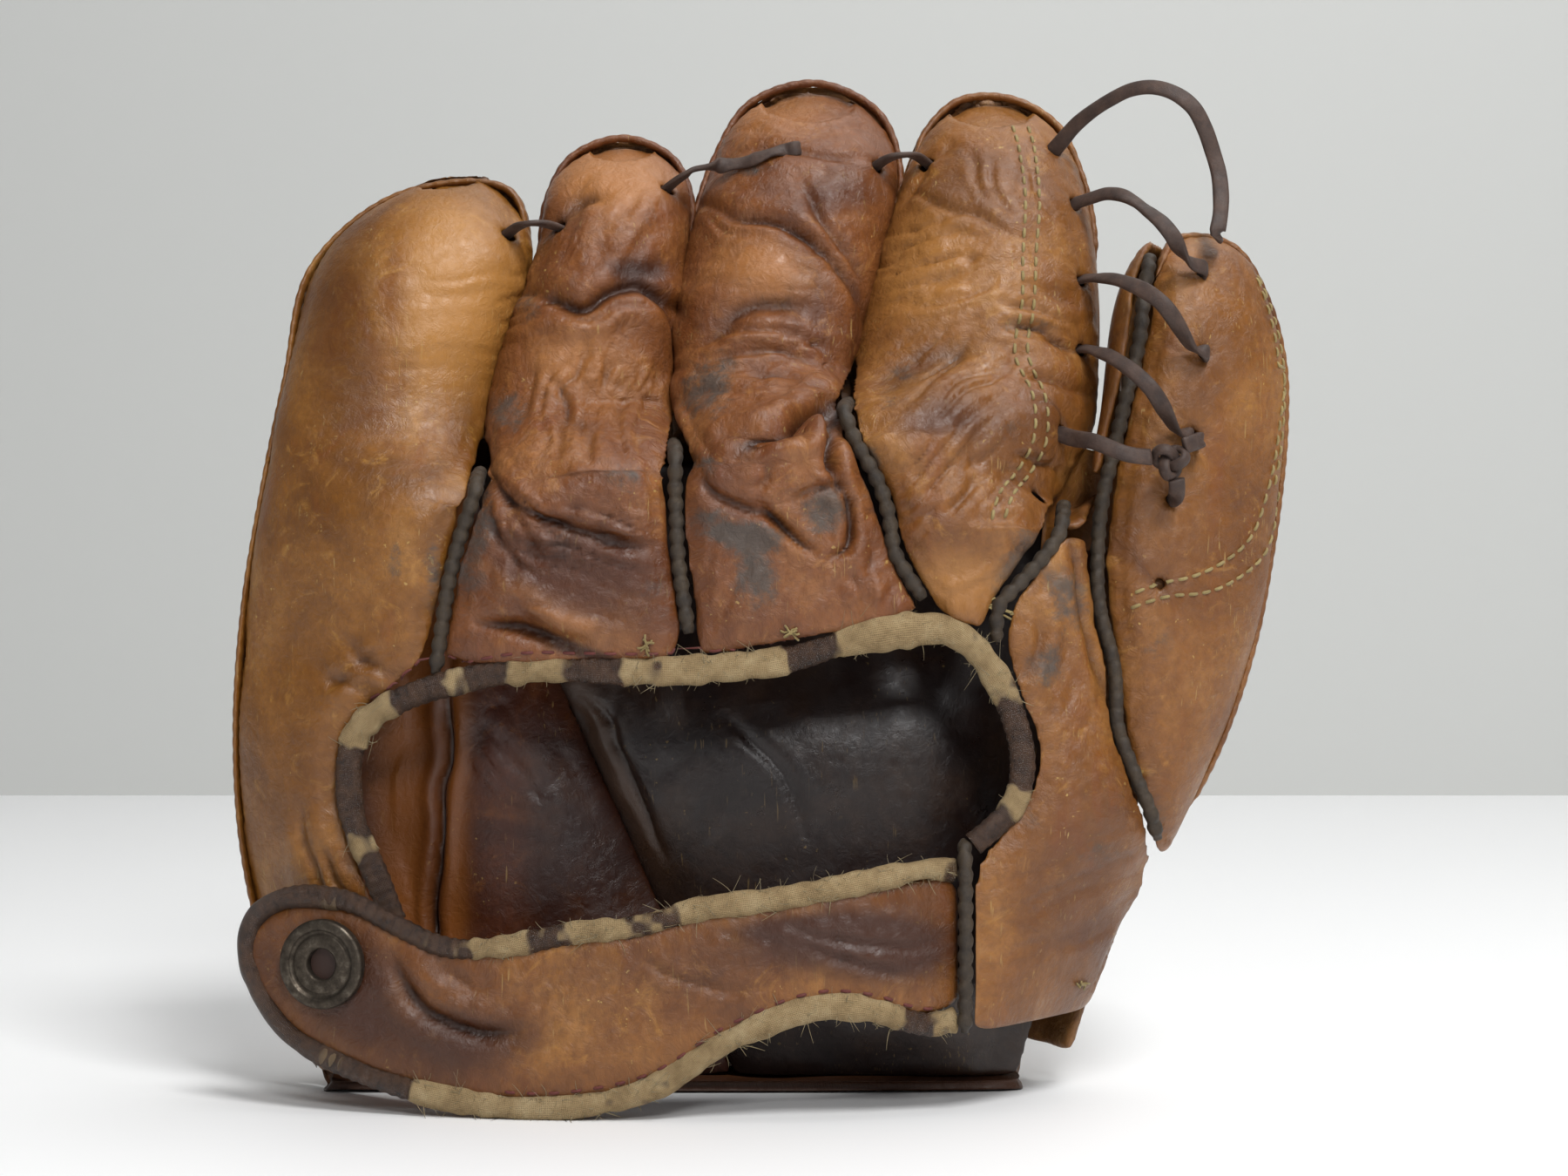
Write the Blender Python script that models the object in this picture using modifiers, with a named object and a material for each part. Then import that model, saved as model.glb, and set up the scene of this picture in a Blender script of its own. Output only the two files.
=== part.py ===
"""Left-hand five-finger leather fielder's glove, standing on its heel.

Row frame: +Z to the fingertips, back of the hand to -Y, palm to +Y, thumb on +X.
Lengths below are millimetres; the scene is in metres.
"""
import bpy
import bmesh
from math import sin, cos, pi, sqrt, exp
from mathutils import Vector

MM = 0.001

LEATHER = 2.8          # outer leather, millimetres
LINING = 1.8           # inner lining leather
SEAM = 0.45            # half the gap left at a plain seam
WELT_R = 1.4           # radius of the rolled welts
WELT_SEAM = 2.3        # half the gap a welt sits in
BINDING_R = 2.6        # radius of the binding round the back opening
LACE_W, LACE_T = 3.8, 1.3   # flat rawhide lace
HOLE_D = 5.6           # punched lace holes
SNAP_D = 20.6          # snap cap
SOLE_FRONT = -3.5      # front edge of the flat heel the glove stands on
STRAP_T = 2.8
HAND_TOP = 150.0       # rows slant below this height to meet the back opening
TAB_DEPTH = 6.3        # how far the stud tab lies under the strap's outer face

glove = bpy.data.collections.new("fielders_glove")
tools = bpy.data.collections.new("cutters")


# ---------------------------------------------------------------- helpers

def clear_scene():
    for o in list(bpy.data.objects):
        bpy.data.objects.remove(o, do_unlink=True)
    bpy.context.scene.collection.children.link(glove)
    bpy.context.scene.collection.children.link(tools)


def material(name, colour, rough=0.55, metal=0.0):
    m = bpy.data.materials.get(name) or bpy.data.materials.new(name)
    m.use_nodes = True
    p = m.node_tree.nodes["Principled BSDF"]
    p.inputs["Base Color"].default_value = (*colour, 1)
    p.inputs["Roughness"].default_value = rough
    p.inputs["Metallic"].default_value = metal
    return m


def lerp(a, b, t):
    return a + (b - a) * t


def smoothstep(a, b, v):
    t = min(1.0, max(0.0, (v - a) / (b - a)))
    return t * t * (3 - 2 * t)


def table(pairs, v):
    """Straight-line look-up in a list of (key, value)."""
    if v <= pairs[0][0]:
        return pairs[0][1]
    for (k0, v0), (k1, v1) in zip(pairs, pairs[1:]):
        if v <= k1:
            return lerp(v0, v1, (v - k0) / (k1 - k0))
    return pairs[-1][1]


class Edge:
    """A seam line given by points rising in Z, read back at any height."""

    def __init__(self, *points):
        self.p = [Vector(q) for q in points]

    def at(self, z):
        p = self.p
        if z <= p[0].z:
            return Vector((p[0].x, p[0].y, z))
        if z >= p[-1].z:
            return Vector((p[-1].x, p[-1].y, z))
        i = next(k for k in range(len(p) - 1) if z <= p[k + 1].z)
        a, b = p[i], p[i + 1]
        h = b.z - a.z
        t = (z - a.z) / h
        m0, m1 = self.slope(i) * h, self.slope(i + 1) * h
        t2, t3 = t * t, t * t * t
        q = a * (2 * t3 - 3 * t2 + 1) + m0 * (t3 - 2 * t2 + t)
        q += b * (-2 * t3 + 3 * t2) + m1 * (t3 - t2)
        q.z = z
        return q

    def slope(self, i):
        """Slope at a given point that never makes the line overshoot."""
        p = self.p
        if i == 0 or i == len(p) - 1:
            a, b = (p[0], p[1]) if i == 0 else (p[-2], p[-1])
            return (b - a) / (b.z - a.z)
        s0 = (p[i] - p[i - 1]) / (p[i].z - p[i - 1].z)
        s1 = (p[i + 1] - p[i]) / (p[i + 1].z - p[i].z)
        return Vector([2 * u * v / (u + v) if u * v > 0 else 0.0 for u, v in zip(s0, s1)])


class Panel:
    """Leather between two seam lines, arched outwards by `bulge`."""

    def __init__(self, left, right, facing, bulge, squeeze_l, squeeze_r, inset,
                 low_l, low_r, top, surface=None):
        self.left, self.right, self.facing = left, right, facing
        self.bulge, self.inset, self.surface = bulge, inset, surface
        self.squeeze_l, self.squeeze_r = squeeze_l, squeeze_r
        self.low_l, self.low_r, self.top = low_l, low_r, top

    def frame(self, z):
        """Both seam points and the outward direction for a row at height z."""
        k = (HAND_TOP - self.low_r) / (HAND_TOP - self.low_l)
        a = self.left.at(z)
        b = self.right.at(z if z > HAND_TOP else HAND_TOP - (HAND_TOP - z) * k)
        d = (b - a).normalized()
        a = a + d * table(self.squeeze_l, z)
        b = b - d * table(self.squeeze_r, z)
        out = Vector((b.y - a.y, a.x - b.x, 0)).normalized()
        if out.y * self.facing < 0:
            out = -out
        return a, b, out

    def raw(self, z, u):
        a, b, out = self.frame(z)
        q = (a + b) / 2 - (b - a) / 2 * cos(pi * u) + out * (table(self.bulge, z) * sin(pi * u))
        return self.surface(q) if self.surface else q

    def trim(self, z):
        """Share of the width left free at each edge."""
        gap = table(self.inset, z)
        if gap <= 0:
            return 0.0, 0.0
        ends = []
        for first, step in ((0.0, 0.004), (1.0, -0.004)):
            u, start = first, self.raw(z, first)
            while (self.raw(z, u) - start).length < gap and 0.0 <= u <= 1.0:
                u += step
                if abs(u - first) > 0.2:
                    break
            ends.append(abs(u - first))
        return ends[0], ends[1]

    def point(self, z, u):
        a, b = self.trim(z)
        return self.raw(z, lerp(a, 1 - b, u))

    def inside(self, z, u, t):
        """The matching point on the flesh side: a smaller tube in a finger, an offset elsewhere."""
        w = smoothstep(146, 165, z)
        q = self.point(z, u) - self.normal(z, u) * t
        if w <= 0:
            return q
        zz = z - t * smoothstep(self.top - 3.5 * t, self.top, z)
        a, b, out = self.frame(zz)
        d = (b - a).normalized()
        a, b = a + d * t, b - d * t
        lo, hi = self.trim(z)
        v = lerp(lo, 1 - hi, u)
        r = (a + b) / 2 - (b - a) / 2 * cos(pi * v)
        r += out * (max(0.9, table(self.bulge, zz) - t) * sin(pi * v))
        return q.lerp(r, w)

    def normal(self, z, u):
        e = 0.02
        du = self.point(z, min(1, u + e)) - self.point(z, max(0, u - e))
        dz = self.point(min(self.top, z + 1), u) - self.point(max(self.low_l, z - 1), u)
        return du.cross(dz).normalized() * -self.facing


def add_mesh(name, verts, faces, mat):
    me = bpy.data.meshes.new(name)
    me.from_pydata([Vector(v) * MM for v in verts], [], faces)
    me.update()
    o = bpy.data.objects.new(name, me)
    glove.objects.link(o)
    me.materials.append(mat)
    return o


def tidy_mesh(o, facing=None):
    """Weld shared seam points and make every face look outwards."""
    bm = bmesh.new()
    bm.from_mesh(o.data)
    bmesh.ops.remove_doubles(bm, verts=bm.verts, dist=0.00004)
    if facing is None:
        bmesh.ops.recalc_face_normals(bm, faces=bm.faces)
    else:
        n = Vector()
        for f in bm.faces:
            n += f.normal * f.calc_area()
        if n.dot(Vector(facing)) < 0:
            bmesh.ops.reverse_faces(bm, faces=bm.faces)
    bm.to_mesh(o.data)
    bm.free()
    return o


def thicken(o, thickness, outwards=False):
    s = o.modifiers.new("leather", "SOLIDIFY")
    s.thickness = thickness * MM
    s.offset = 1.0 if outwards else -1.0
    s.use_even_offset = False
    return o


def grid(rows):
    """Vertices and quads of a grid given as equal rows of points."""
    n = len(rows[0])
    verts = [q for r in rows for q in r]
    faces = []
    for j in range(len(rows) - 1):
        for i in range(n - 1):
            a = j * n + i
            faces.append((a, a + 1, a + n + 1, a + n))
    return verts, faces


def shell(name, outer, inner, faces, mat):
    """A closed skin between two matching point sets that share one face list."""
    home, keep_o, keep_i, count = [], [], [], []
    for q, r in zip(outer, inner):
        k = next((j for j, p in enumerate(keep_o) if (p - q).length < 0.02), None)
        if k is None:
            k = len(keep_o)
            keep_o.append(q.copy())
            keep_i.append(Vector((0, 0, 0)))
            count.append(0)
        keep_i[k] += r
        count[k] += 1
        home.append(k)
    n = len(keep_o)
    faces = [tuple(home[a] for a in f) for f in faces]
    sides = {}
    for f in faces:
        for a, b in zip(f, f[1:] + f[:1]):
            sides[(a, b)] = True
    rim = [(a, b, b + n, a + n) for a, b in sides if (b, a) not in sides]
    back = [tuple(k + n for k in reversed(f)) for f in faces]
    verts = keep_o + [q / c for q, c in zip(keep_i, count)]
    return tidy_mesh(add_mesh(name, verts, faces + back + rim, mat))


def leather_panel(name, panel, levels, across, mat, thickness=LEATHER):
    shares = [i / across for i in range(across + 1)] if isinstance(across, int) else across
    rows = [[panel.point(z, u) for u in shares] for z in levels]
    inner = [panel.inside(z, u, thickness) for z in levels for u in shares]
    verts, faces = grid(rows)
    return shell(name, verts, inner, faces, mat)


def slab(name, levels, x_low, x_high, across, y_near, y_far, mat):
    """A closed pad between two curved faces."""
    near, far = [], []
    for z in levels:
        xs = [lerp(x_low(z), x_high(z), i / across) for i in range(across + 1)]
        near.append([Vector((x, y_near(x, z), z)) for x in xs])
        far.append([Vector((x, y_far(x, z), z)) for x in xs])
    v, f = grid(near)
    v2, f2 = grid(far)
    k, n, m = len(v), across + 1, len(levels)
    faces = f + [tuple(k + a for a in q) for q in f2]
    ring = [i for i in range(n)] + [j * n + n - 1 for j in range(1, m)]
    ring += [(m - 1) * n + i for i in range(n - 2, -1, -1)] + [j * n for j in range(m - 2, 0, -1)]
    for a, b in zip(ring, ring[1:] + ring[:1]):
        faces.append((a, b, b + k, a + k))
    return tidy_mesh(add_mesh(name, v + v2, faces, mat))


def path(points, count, closed=False):
    """Evenly spaced points on a smooth curve through the given ones."""
    p = [Vector(q) for q in points]
    fine = []
    n = len(p)
    for i in range(n if closed else n - 1):
        a, b = p[i], p[(i + 1) % n]
        c0 = p[(i - 1) % n] if closed or i > 0 else a
        c3 = p[(i + 2) % n] if closed or i < n - 2 else b
        for s in range(12):
            t = s / 12
            fine.append(0.5 * (2 * a + (b - c0) * t + (2 * c0 - 5 * a + 4 * b - c3) * t * t
                               + (3 * a - c0 - 3 * b + c3) * t * t * t))
    fine.append(p[0].copy() if closed else p[-1].copy())
    run = [0.0]
    for a, b in zip(fine, fine[1:]):
        run.append(run[-1] + (b - a).length)
    out, k = [], 0
    steps = count if closed else count - 1
    for j in range(count):
        want = run[-1] * j / steps
        while k < len(run) - 2 and run[k + 1] < want:
            k += 1
        out.append(fine[k].lerp(fine[k + 1], (want - run[k]) / max(run[k + 1] - run[k], 1e-9)))
    return out


def tube(name, points, radius, mat, count=24, resolution=2, closed=False):
    """Round piping, cord or thread along a path."""
    cu = bpy.data.curves.new(name, "CURVE")
    cu.dimensions = "3D"
    pts = path(points, count, closed)
    s = cu.splines.new("POLY")
    s.points.add(len(pts) - 1)
    for k, q in enumerate(pts):
        s.points[k].co = (*(q * MM), 1)
    s.use_cyclic_u = closed
    cu.bevel_depth = radius * MM
    cu.bevel_resolution = resolution
    cu.use_fill_caps = not closed
    cu.render_resolution_u = 0
    cu.materials.append(mat)
    o = bpy.data.objects.new(name, cu)
    glove.objects.link(o)
    return o


def ribbon(name, points, normals, mat, width=LACE_W, thick=LACE_T, count=None):
    """Flat lace: a rectangular section swept along a path with a given face direction."""
    count = count or len(points)
    pts, nrm = path(points, count), path(normals, count)
    rings = []
    m = 4
    for k, q in enumerate(pts):
        t = (pts[min(k + 1, count - 1)] - pts[max(k - 1, 0)]).normalized()
        n = (nrm[k] - t * nrm[k].dot(t)).normalized()
        s = t.cross(n)
        w, h = width / 2, thick / 2
        rings.append([q + s * w - n * h, q - s * w - n * h, q - s * w + n * h, q + s * w + n * h])
    verts = [v for r in rings for v in r]
    faces = [tuple(range(m - 1, -1, -1)), tuple((count - 1) * m + i for i in range(m))]
    for j in range(count - 1):
        for i in range(m):
            a, b = j * m + i, j * m + (i + 1) % m
            faces.append((a, b, b + m, a + m))
    return tidy_mesh(add_mesh(name, verts, faces, mat))


def disc(name, centre, normal, radius, depth, mat, segments=32, bevel=0.0, keep=True):
    """A short cylinder whose near face sits at `centre`, growing along `normal`."""
    me = bpy.data.meshes.new(name)
    bm = bmesh.new()
    bmesh.ops.create_cone(bm, cap_ends=True, segments=segments, radius1=radius * MM,
                          radius2=(radius - bevel) * MM, depth=depth * MM)
    bm.to_mesh(me)
    bm.free()
    o = bpy.data.objects.new(name, me)
    n = Vector(normal).normalized()
    o.rotation_mode = "QUATERNION"
    o.rotation_quaternion = Vector((0, 0, 1)).rotation_difference(n)
    o.location = (Vector(centre) + n * depth / 2) * MM
    (glove if keep else tools).objects.link(o)
    if keep:
        me.materials.append(mat)
    return o


def cut(target, cutter):
    cutter.hide_render = True
    cutter.display_type = "WIRE"
    b = target.modifiers.new("cut", "BOOLEAN")
    b.operation, b.solver, b.object = "DIFFERENCE", "EXACT", cutter


def punch(target, q, n, dia=HOLE_D):
    """A round lace hole through a panel, centred at q along direction n."""
    cut(target, disc("punch", q - n * 8, n, dia / 2, 14, None, 10, keep=False))


# ---------------------------------------------------------------- materials

TAN = material("saddle_leather", (0.42, 0.19, 0.08))
RED = material("russet_leather", (0.33, 0.13, 0.07))
LITTLE = material("faded_leather", (0.47, 0.24, 0.12))
PALM = material("palm_leather", (0.40, 0.20, 0.09))
WELT = material("welt_leather", (0.23, 0.20, 0.14))
BIND = material("binding_leather", (0.10, 0.045, 0.025), 0.4)
LININGM = material("lining_leather", (0.13, 0.05, 0.03), 0.5)
FELT = material("felt_pad", (0.55, 0.52, 0.45), 0.95)
LACE = material("rawhide_lace", (0.30, 0.25, 0.19), 0.7)
THREAD = material("waxed_thread", (0.50, 0.42, 0.18), 0.8)
METAL = material("snap_metal", (0.20, 0.18, 0.15), 0.35, 1.0)

# ---------------------------------------------------------------- seam lines

OUTER_LEFT = Edge((-104, 4, 0), (-112, 3, 12), (-117, 2, 26), (-121, 0, 43), (-125, 0, 63),
                  (-126, 0, 88), (-124, 0, 118), (-121, 1, 138), (-117.5, 3.5, 158), (-114, 6, 173),
                  (-110.5, 10, 192), (-108, 12.5, 201.5), (-102, 14.5, 210), (-93, 16.5, 216),
                  (-82, 18.5, 221.5), (-75, 19, 223))
LITTLE_INNER = Edge((-66, 3, 153), (-65.5, 4, 163), (-61, 8, 184), (-55, 11, 197),
                    (-55, 12.5, 201.5), (-56.5, 14.5, 209), (-59.5, 16, 214), (-63.5, 17.5, 219.5),
                    (-69, 18.5, 222.5), (-71, 19, 223))
RING_OUTER = Edge((-66, 3, 153), (-65.5, 4, 163), (-61, 8, 184), (-55, 11, 197), (-53, 13, 204.5),
                  (-52.5, 15.5, 212), (-52, 17, 217.5), (-49.5, 19, 223.5), (-43.5, 21, 229),
                  (-36.5, 22, 232))
RING_INNER = Edge((-20, 4.5, 165.5), (-20.5, 7, 178.5), (-19.5, 10.5, 194), (-17.5, 13, 204.5),
                  (-17, 16, 214), (-18, 18, 220.5), (-22, 20, 227), (-28, 21.5, 231), (-32, 22, 232))
MIDDLE_OUTER = Edge((-20, 4.5, 165.5), (-20.5, 7, 178.5), (-19.5, 10.5, 194), (-17.5, 13, 204.5),
                    (-15, 16, 214), (-11.5, 19, 223.5), (-9.5, 22, 232.5), (-3.5, 25, 240),
                    (4, 27, 244.5), (10, 27.5, 246.5))
MIDDLE_INNER = Edge((22, 5.5, 171.5), (24, 7, 178.5), (26.5, 9, 189), (28.5, 12, 199.5),
                    (32.5, 15.5, 212), (34.5, 17.5, 219.5), (34, 20, 226), (32, 22.5, 233.5),
                    (28, 25, 240), (20.5, 27, 245), (15, 27.5, 246.5))
INDEX_OUTER = Edge((22, 5.5, 171.5), (24, 7, 178.5), (26.5, 9, 189), (28.5, 12, 199.5),
                   (32.5, 15.5, 212), (35, 17.5, 219.5), (37, 19.5, 225), (40, 22, 232.5),
                   (44.5, 24, 238), (50.5, 26, 242.5), (55.5, 26.5, 243.5))
INDEX_INNER = Edge((71.5, 1.5, 142), (76, 2.5, 150), (80, 3.5, 158), (81.5, 5.5, 171.5),
                   (82.5, 8, 184), (82, 12, 199.5), (81.5, 14.5, 210), (79, 19, 223.5),
                   (76, 21.5, 230), (72, 24, 237), (65, 25.5, 242), (60, 26.5, 243.5))
THUMB_OUTER = Edge((80.5, 4, 20), (84.5, 3, 30.5), (91.5, 2, 44.5), (97.5, 3, 57), (104.5, 5, 72.5),
                   (112, 5, 86), (118, 5, 103), (122.5, 5, 118), (125, 5, 133), (127, 5, 148),
                   (128, 5, 165), (127, 5, 178.5), (124, 5, 188.5), (120, 5, 198.5),
                   (114, 5, 204.5), (108, 5, 207.5))
THUMB_WELT = Edge((97, -1, 55), (95.5, -10, 58.5), (94, -15.5, 63), (92.5, -18, 68), (90, -18.5, 74),
                  (86, -19, 83), (84, -19, 90), (84, -19, 97.5), (83, -19, 105.5), (80.5, -19, 115),
                  (79.5, -19, 123), (80, -18.5, 134.5), (82, -18, 147.5), (85, -17, 160),
                  (88, -16.5, 171.5), (90, -16, 181.5), (91, -14, 191), (94, -9, 200),
                  (98, -2, 205.5), (101, 3, 207.5))


def back_y(x):
    """Depth of the back of the hand across its width."""
    return -34 * sqrt(max(0.0, 1 - (x / 127) ** 2))


def back_seam(*xz):
    return [(x, back_y(x), z) for x, z in xz]


# The seams on the back: shallow on the hand, dropping between the fingers.
SEAM_LITTLE_RING = back_seam((-74.5, 98), (-74.5, 104), (-72.5, 118), (-69, 132.5), (-65.5, 143))
SEAM_RING_MIDDLE = back_seam((-17, 100), (-16, 113.5), (-18, 127.5), (-19, 142), (-19, 151))
SEAM_MIDDLE_INDEX = back_seam((41.5, 112), (36.5, 121), (31.5, 129.5), (30, 137), (27, 146.5),
                              (22.5, 154.5), (20, 161))
SEAM_INDEX_CROTCH = back_seam((55.5, 103), (55, 113.5), (57.5, 120), (62.5, 126), (67, 131.5),
                              (69, 136))


def join(low, *upper):
    """One edge that follows a seam on the hand, then runs on up a finger."""
    return Edge(*low, *upper)


LITTLE_BACK_R = join([(-70, -27, 4), (-76, -26.5, 25), (-88, -24.5, 42), (-93, -23, 55),
                      (-98, -21.5, 67), (-99, -21, 79.5), (-97, -22, 87), (-92.5, -23.5, 93),
                      (-84, -26, 99)],
                     *SEAM_LITTLE_RING[1:], (-65.5, -12, 152), *[tuple(q) for q in LITTLE_INNER.p[1:]])
RING_BACK_L = join(SEAM_LITTLE_RING, (-65.5, -12, 152), *[tuple(q) for q in RING_OUTER.p[1:]])
RING_BACK_R = join(SEAM_RING_MIDDLE, (-19.5, -14, 158), *[tuple(q) for q in RING_INNER.p])
MIDDLE_BACK_L = join(SEAM_RING_MIDDLE, (-19.5, -14, 158), *[tuple(q) for q in MIDDLE_OUTER.p])
MIDDLE_BACK_R = join(SEAM_MIDDLE_INDEX, (20.5, -14, 167), *[tuple(q) for q in MIDDLE_INNER.p[1:]])
INDEX_BACK_L = join(SEAM_MIDDLE_INDEX, (20.5, -14, 167), *[tuple(q) for q in INDEX_OUTER.p[1:]])
INDEX_BACK_R = join(SEAM_INDEX_CROTCH, (71.5, -14, 142.5), *[tuple(q) for q in INDEX_INNER.p[1:]])


def outline(z):
    """Whole width of the glove at a height, for the palm surface."""
    return OUTER_LEFT.at(z).x, table([(0, 76), (20, 80.5), (44.5, 91.6), (72.7, 104.7),
                                      (102.9, 117.8), (133, 124.8), (165, 128)], z)


def palm_y(x, z):
    """Outer face of the palm: padded edges round a hollow pocket."""
    lo, hi = outline(z)
    s = min(0.998, max(0.002, (x - lo) / (hi - lo)))
    arch = sqrt(max(0.0, 1 - abs(2 * s - 1) ** 3))
    y = 4 + table([(0, 33), (60, 33), (130, 25), (170, 22)], z) * arch
    y -= 13 * exp(-((x - 46) / 34) ** 2 - ((z - 116) / 38) ** 2)
    return y - 7 * arch * max(0.0, 1 - z / 16) ** 2


def palm_blend(q):
    w = smoothstep(168, 140, q.z)
    return Vector((q.x, lerp(q.y, palm_y(q.x, q.z), w), q.z))


def lobe(x, z, x_low, x_high, z_top, depth):
    """A padded swelling of the lining, rounded across and fading above z_top."""
    if not x_low < x < x_high:
        return 0.0
    across = 1 - abs(2 * (x - x_low) / (x_high - x_low) - 1) ** 2.6
    return depth * sqrt(across) * smoothstep(z_top + 24, z_top - 14, z) * smoothstep(-6, 26, z)


def crease_x(z):
    """The crease between the two lobes of the lining leans towards the little finger."""
    return -38 + 0.45 * (75 - z)


def lining_base(x, z):
    lo, hi = outline(z)
    return 3.5 - 3 * (2 * (x - lo) / (hi - lo) - 1) ** 2


def lining_y(x, z):
    y = lining_base(x, z) - lobe(x, z, -78, crease_x(z), 100, 8)
    return y - lobe(x, z, crease_x(z), 56, 96, 12)


def pad_y(x, z):
    """Near face of the felt pads, which fill most of the large lobe."""
    return lining_base(x, z) - lobe(x, z, crease_x(z) + 12, 46, 84, 7) + LINING + 0.6


def skin_inside(x, z):
    """Inner face of the palm leather, with a little air for the pads."""
    e = 1.0
    gx = (palm_y(x + e, z) - palm_y(x - e, z)) / (2 * e)
    gz = (palm_y(x, z + e) - palm_y(x, max(0, z - e))) / (2 * e)
    return palm_y(x, z) - (LEATHER + 1.8) * sqrt(1 + gx * gx + gz * gz)


# ---------------------------------------------------------------- panels

FINGER_TRIM = [(140, 0.35), (165, 0.4), (260, 0.4)]


def tip_levels(top, *below):
    return [top - d for d in below]


LITTLE_BACK = Panel(OUTER_LEFT, LITTLE_BACK_R, -1,
                    [(4, 3), (45, 4), (60, 5), (110, 7), (150, 14), (180, 19), (205, 19), (217, 11),
                     (223, 1.4)],
                    [(0, SEAM), (260, SEAM)], [(96, 0), (99, 2.8), (130, 2.6), (146, WELT_SEAM), (160, SEAM)],
                    FINGER_TRIM, 5, 5, 222.4)
RING_BACK = Panel(RING_BACK_L, RING_BACK_R, -1,
                  [(100, 3), (135, 5), (160, 17), (185, 20), (210, 19), (224, 12), (232, 1.4)],
                  [(146, WELT_SEAM), (160, SEAM)], [(152, WELT_SEAM), (166, SEAM)],
                  FINGER_TRIM, 104.5, 106.2, 231.5)
MIDDLE_BACK = Panel(MIDDLE_BACK_L, MIDDLE_BACK_R, -1,
                    [(100, 3), (140, 5), (166, 18), (190, 21), (222, 20), (238, 12), (246.4, 1.4)],
                    [(152, WELT_SEAM), (166, SEAM)], [(158, WELT_SEAM), (172, SEAM)],
                    FINGER_TRIM, 106.2, 116, 245.9)
INDEX_BACK = Panel(INDEX_BACK_L, INDEX_BACK_R, -1,
                   [(100, 1.5), (130, 4), (160, 17), (185, 22), (218, 21), (235, 12), (243.6, 1.4)],
                   [(158, WELT_SEAM), (172, SEAM)], [(136, WELT_SEAM), (150, SEAM)],
                   FINGER_TRIM, 116.4, 112, 243.1)
THUMB_SIDE_BACK = Panel(
    Edge((50, -34, 19), (50, -33.5, 55), (52.5, -31, 61), (59.5, -30, 66), (64.5, -29, 75),
         (65.5, -29, 84), (62.5, -29.5, 93), (59, -30, 101), (57.5, -30.5, 108), (58, -30.5, 114),
         (61, -30, 119.5), (66, -29, 124.5), (70.5, -28.5, 129.5), (73.5, -27.5, 136)),
    Edge((79.5, 1.5, 19), (84, -1, 30.5), (90.5, -2, 44), (93.5, -2.5, 52), (92.5, -10, 57.5),
         (91.5, -15.5, 63), (90, -18, 68), (87.5, -19, 74), (84, -19.5, 83), (82, -19.5, 90),
         (82, -19.5, 97.5), (81, -19.5, 105.5), (78.5, -20, 115), (77.5, -21, 123), (77, -23, 132),
         (75, -25.5, 137)),
    -1, [(19, 2), (60, 6), (95, 3), (125, 1.5), (137, 0.6)], [(0, 0), (260, 0)], [(0, 0), (260, 0)],
    [(0, 0.3), (260, 0.3)], 20, 20, 132)
THUMB_BACK = Panel(THUMB_WELT, THUMB_OUTER, -1,
                   [(56, 1.0), (75, 7), (110, 11), (180, 11), (200, 7), (207.4, 3.4)],
                   [(0, WELT_SEAM), (190, WELT_SEAM), (204, 1.0)], [(0, SEAM), (260, SEAM)],
                   [(0, 0.35), (260, 0.35)], 58, 57, 206.6)


def build_backs():
    body = [112, 120, 130, 140, 148, 156, 165, 176, 188, 200]
    little = [5, 22, 40, 54, 66, 78, 88, 96, 102, 110, 120, 132, 140, 148, 156, 165, 176, 188, 200]
    leather_panel("little_finger_back", LITTLE_BACK,
                  little + tip_levels(222.4, 12, 7, 3.2, 1, 0), 7, LITTLE)
    leather_panel("ring_finger_back", RING_BACK,
                  [104.5] + body + [215] + tip_levels(231.5, 10, 5.5, 2.4, 0.8, 0), 8, RED)
    leather_panel("middle_finger_back", MIDDLE_BACK,
                  [106.2] + body + [215, 227] + tip_levels(245.9, 11, 6, 2.6, 0.9, 0), 8, RED)
    leather_panel("index_finger_back", INDEX_BACK,
                  [116.4, 122, 130, 136, 142, 148, 156, 165, 176, 188, 200, 215, 227]
                  + tip_levels(243.1, 9.5, 5.5, 2.4, 0.8, 0),
                  [0, 0.13, 0.27, 0.41, 0.53, 0.61, 0.72, 0.86, 1], TAN)
    leather_panel("thumb_side_back", THUMB_SIDE_BACK,
                  [20, 32, 44, 54, 61, 68, 76, 85, 94, 103, 112, 120, 127, 132], 4, TAN)
    leather_panel("thumb_back", THUMB_BACK,
                  [58, 62, 68, 76, 88, 102, 116, 130, 145, 160, 174, 186]
                  + tip_levels(206.6, 12, 7, 3.2, 1, 0), 6, TAN)


def front_panel(left, right, top, bulge, outer_l=0.0, outer_r=0.0):
    """Finger front; its seams join its neighbours on the palm and part above the crotch."""
    def gaps(outer):
        return [(0, outer), (156, outer), (164, SEAM), (260, SEAM)]
    return Panel(left, right, 1, bulge, gaps(outer_l), gaps(outer_r),
                 [(0, 0), (156, 0), (164, 0.4), (260, 0.4)], 0, 0, top, palm_blend)


PALM_SEAM_1 = [(-62, 4, 0), (-68, 4, 40), (-70, 4, 90), (-68, 4, 130), (-66, 3.4, 154)]
PALM_SEAM_2 = [(-22, 4, 0), (-23, 4, 60), (-22, 4, 130), (-20.5, 4.2, 156)]
PALM_SEAM_3 = [(20, 4, 0), (21, 4, 60), (22, 4, 130), (22, 5, 160)]
PALM_EDGE = [(64, 4, 0), (67, 4, 20), (72, 4, 45), (74, 4, 80), (73.5, 4, 120), (73, 3, 138)]


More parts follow.
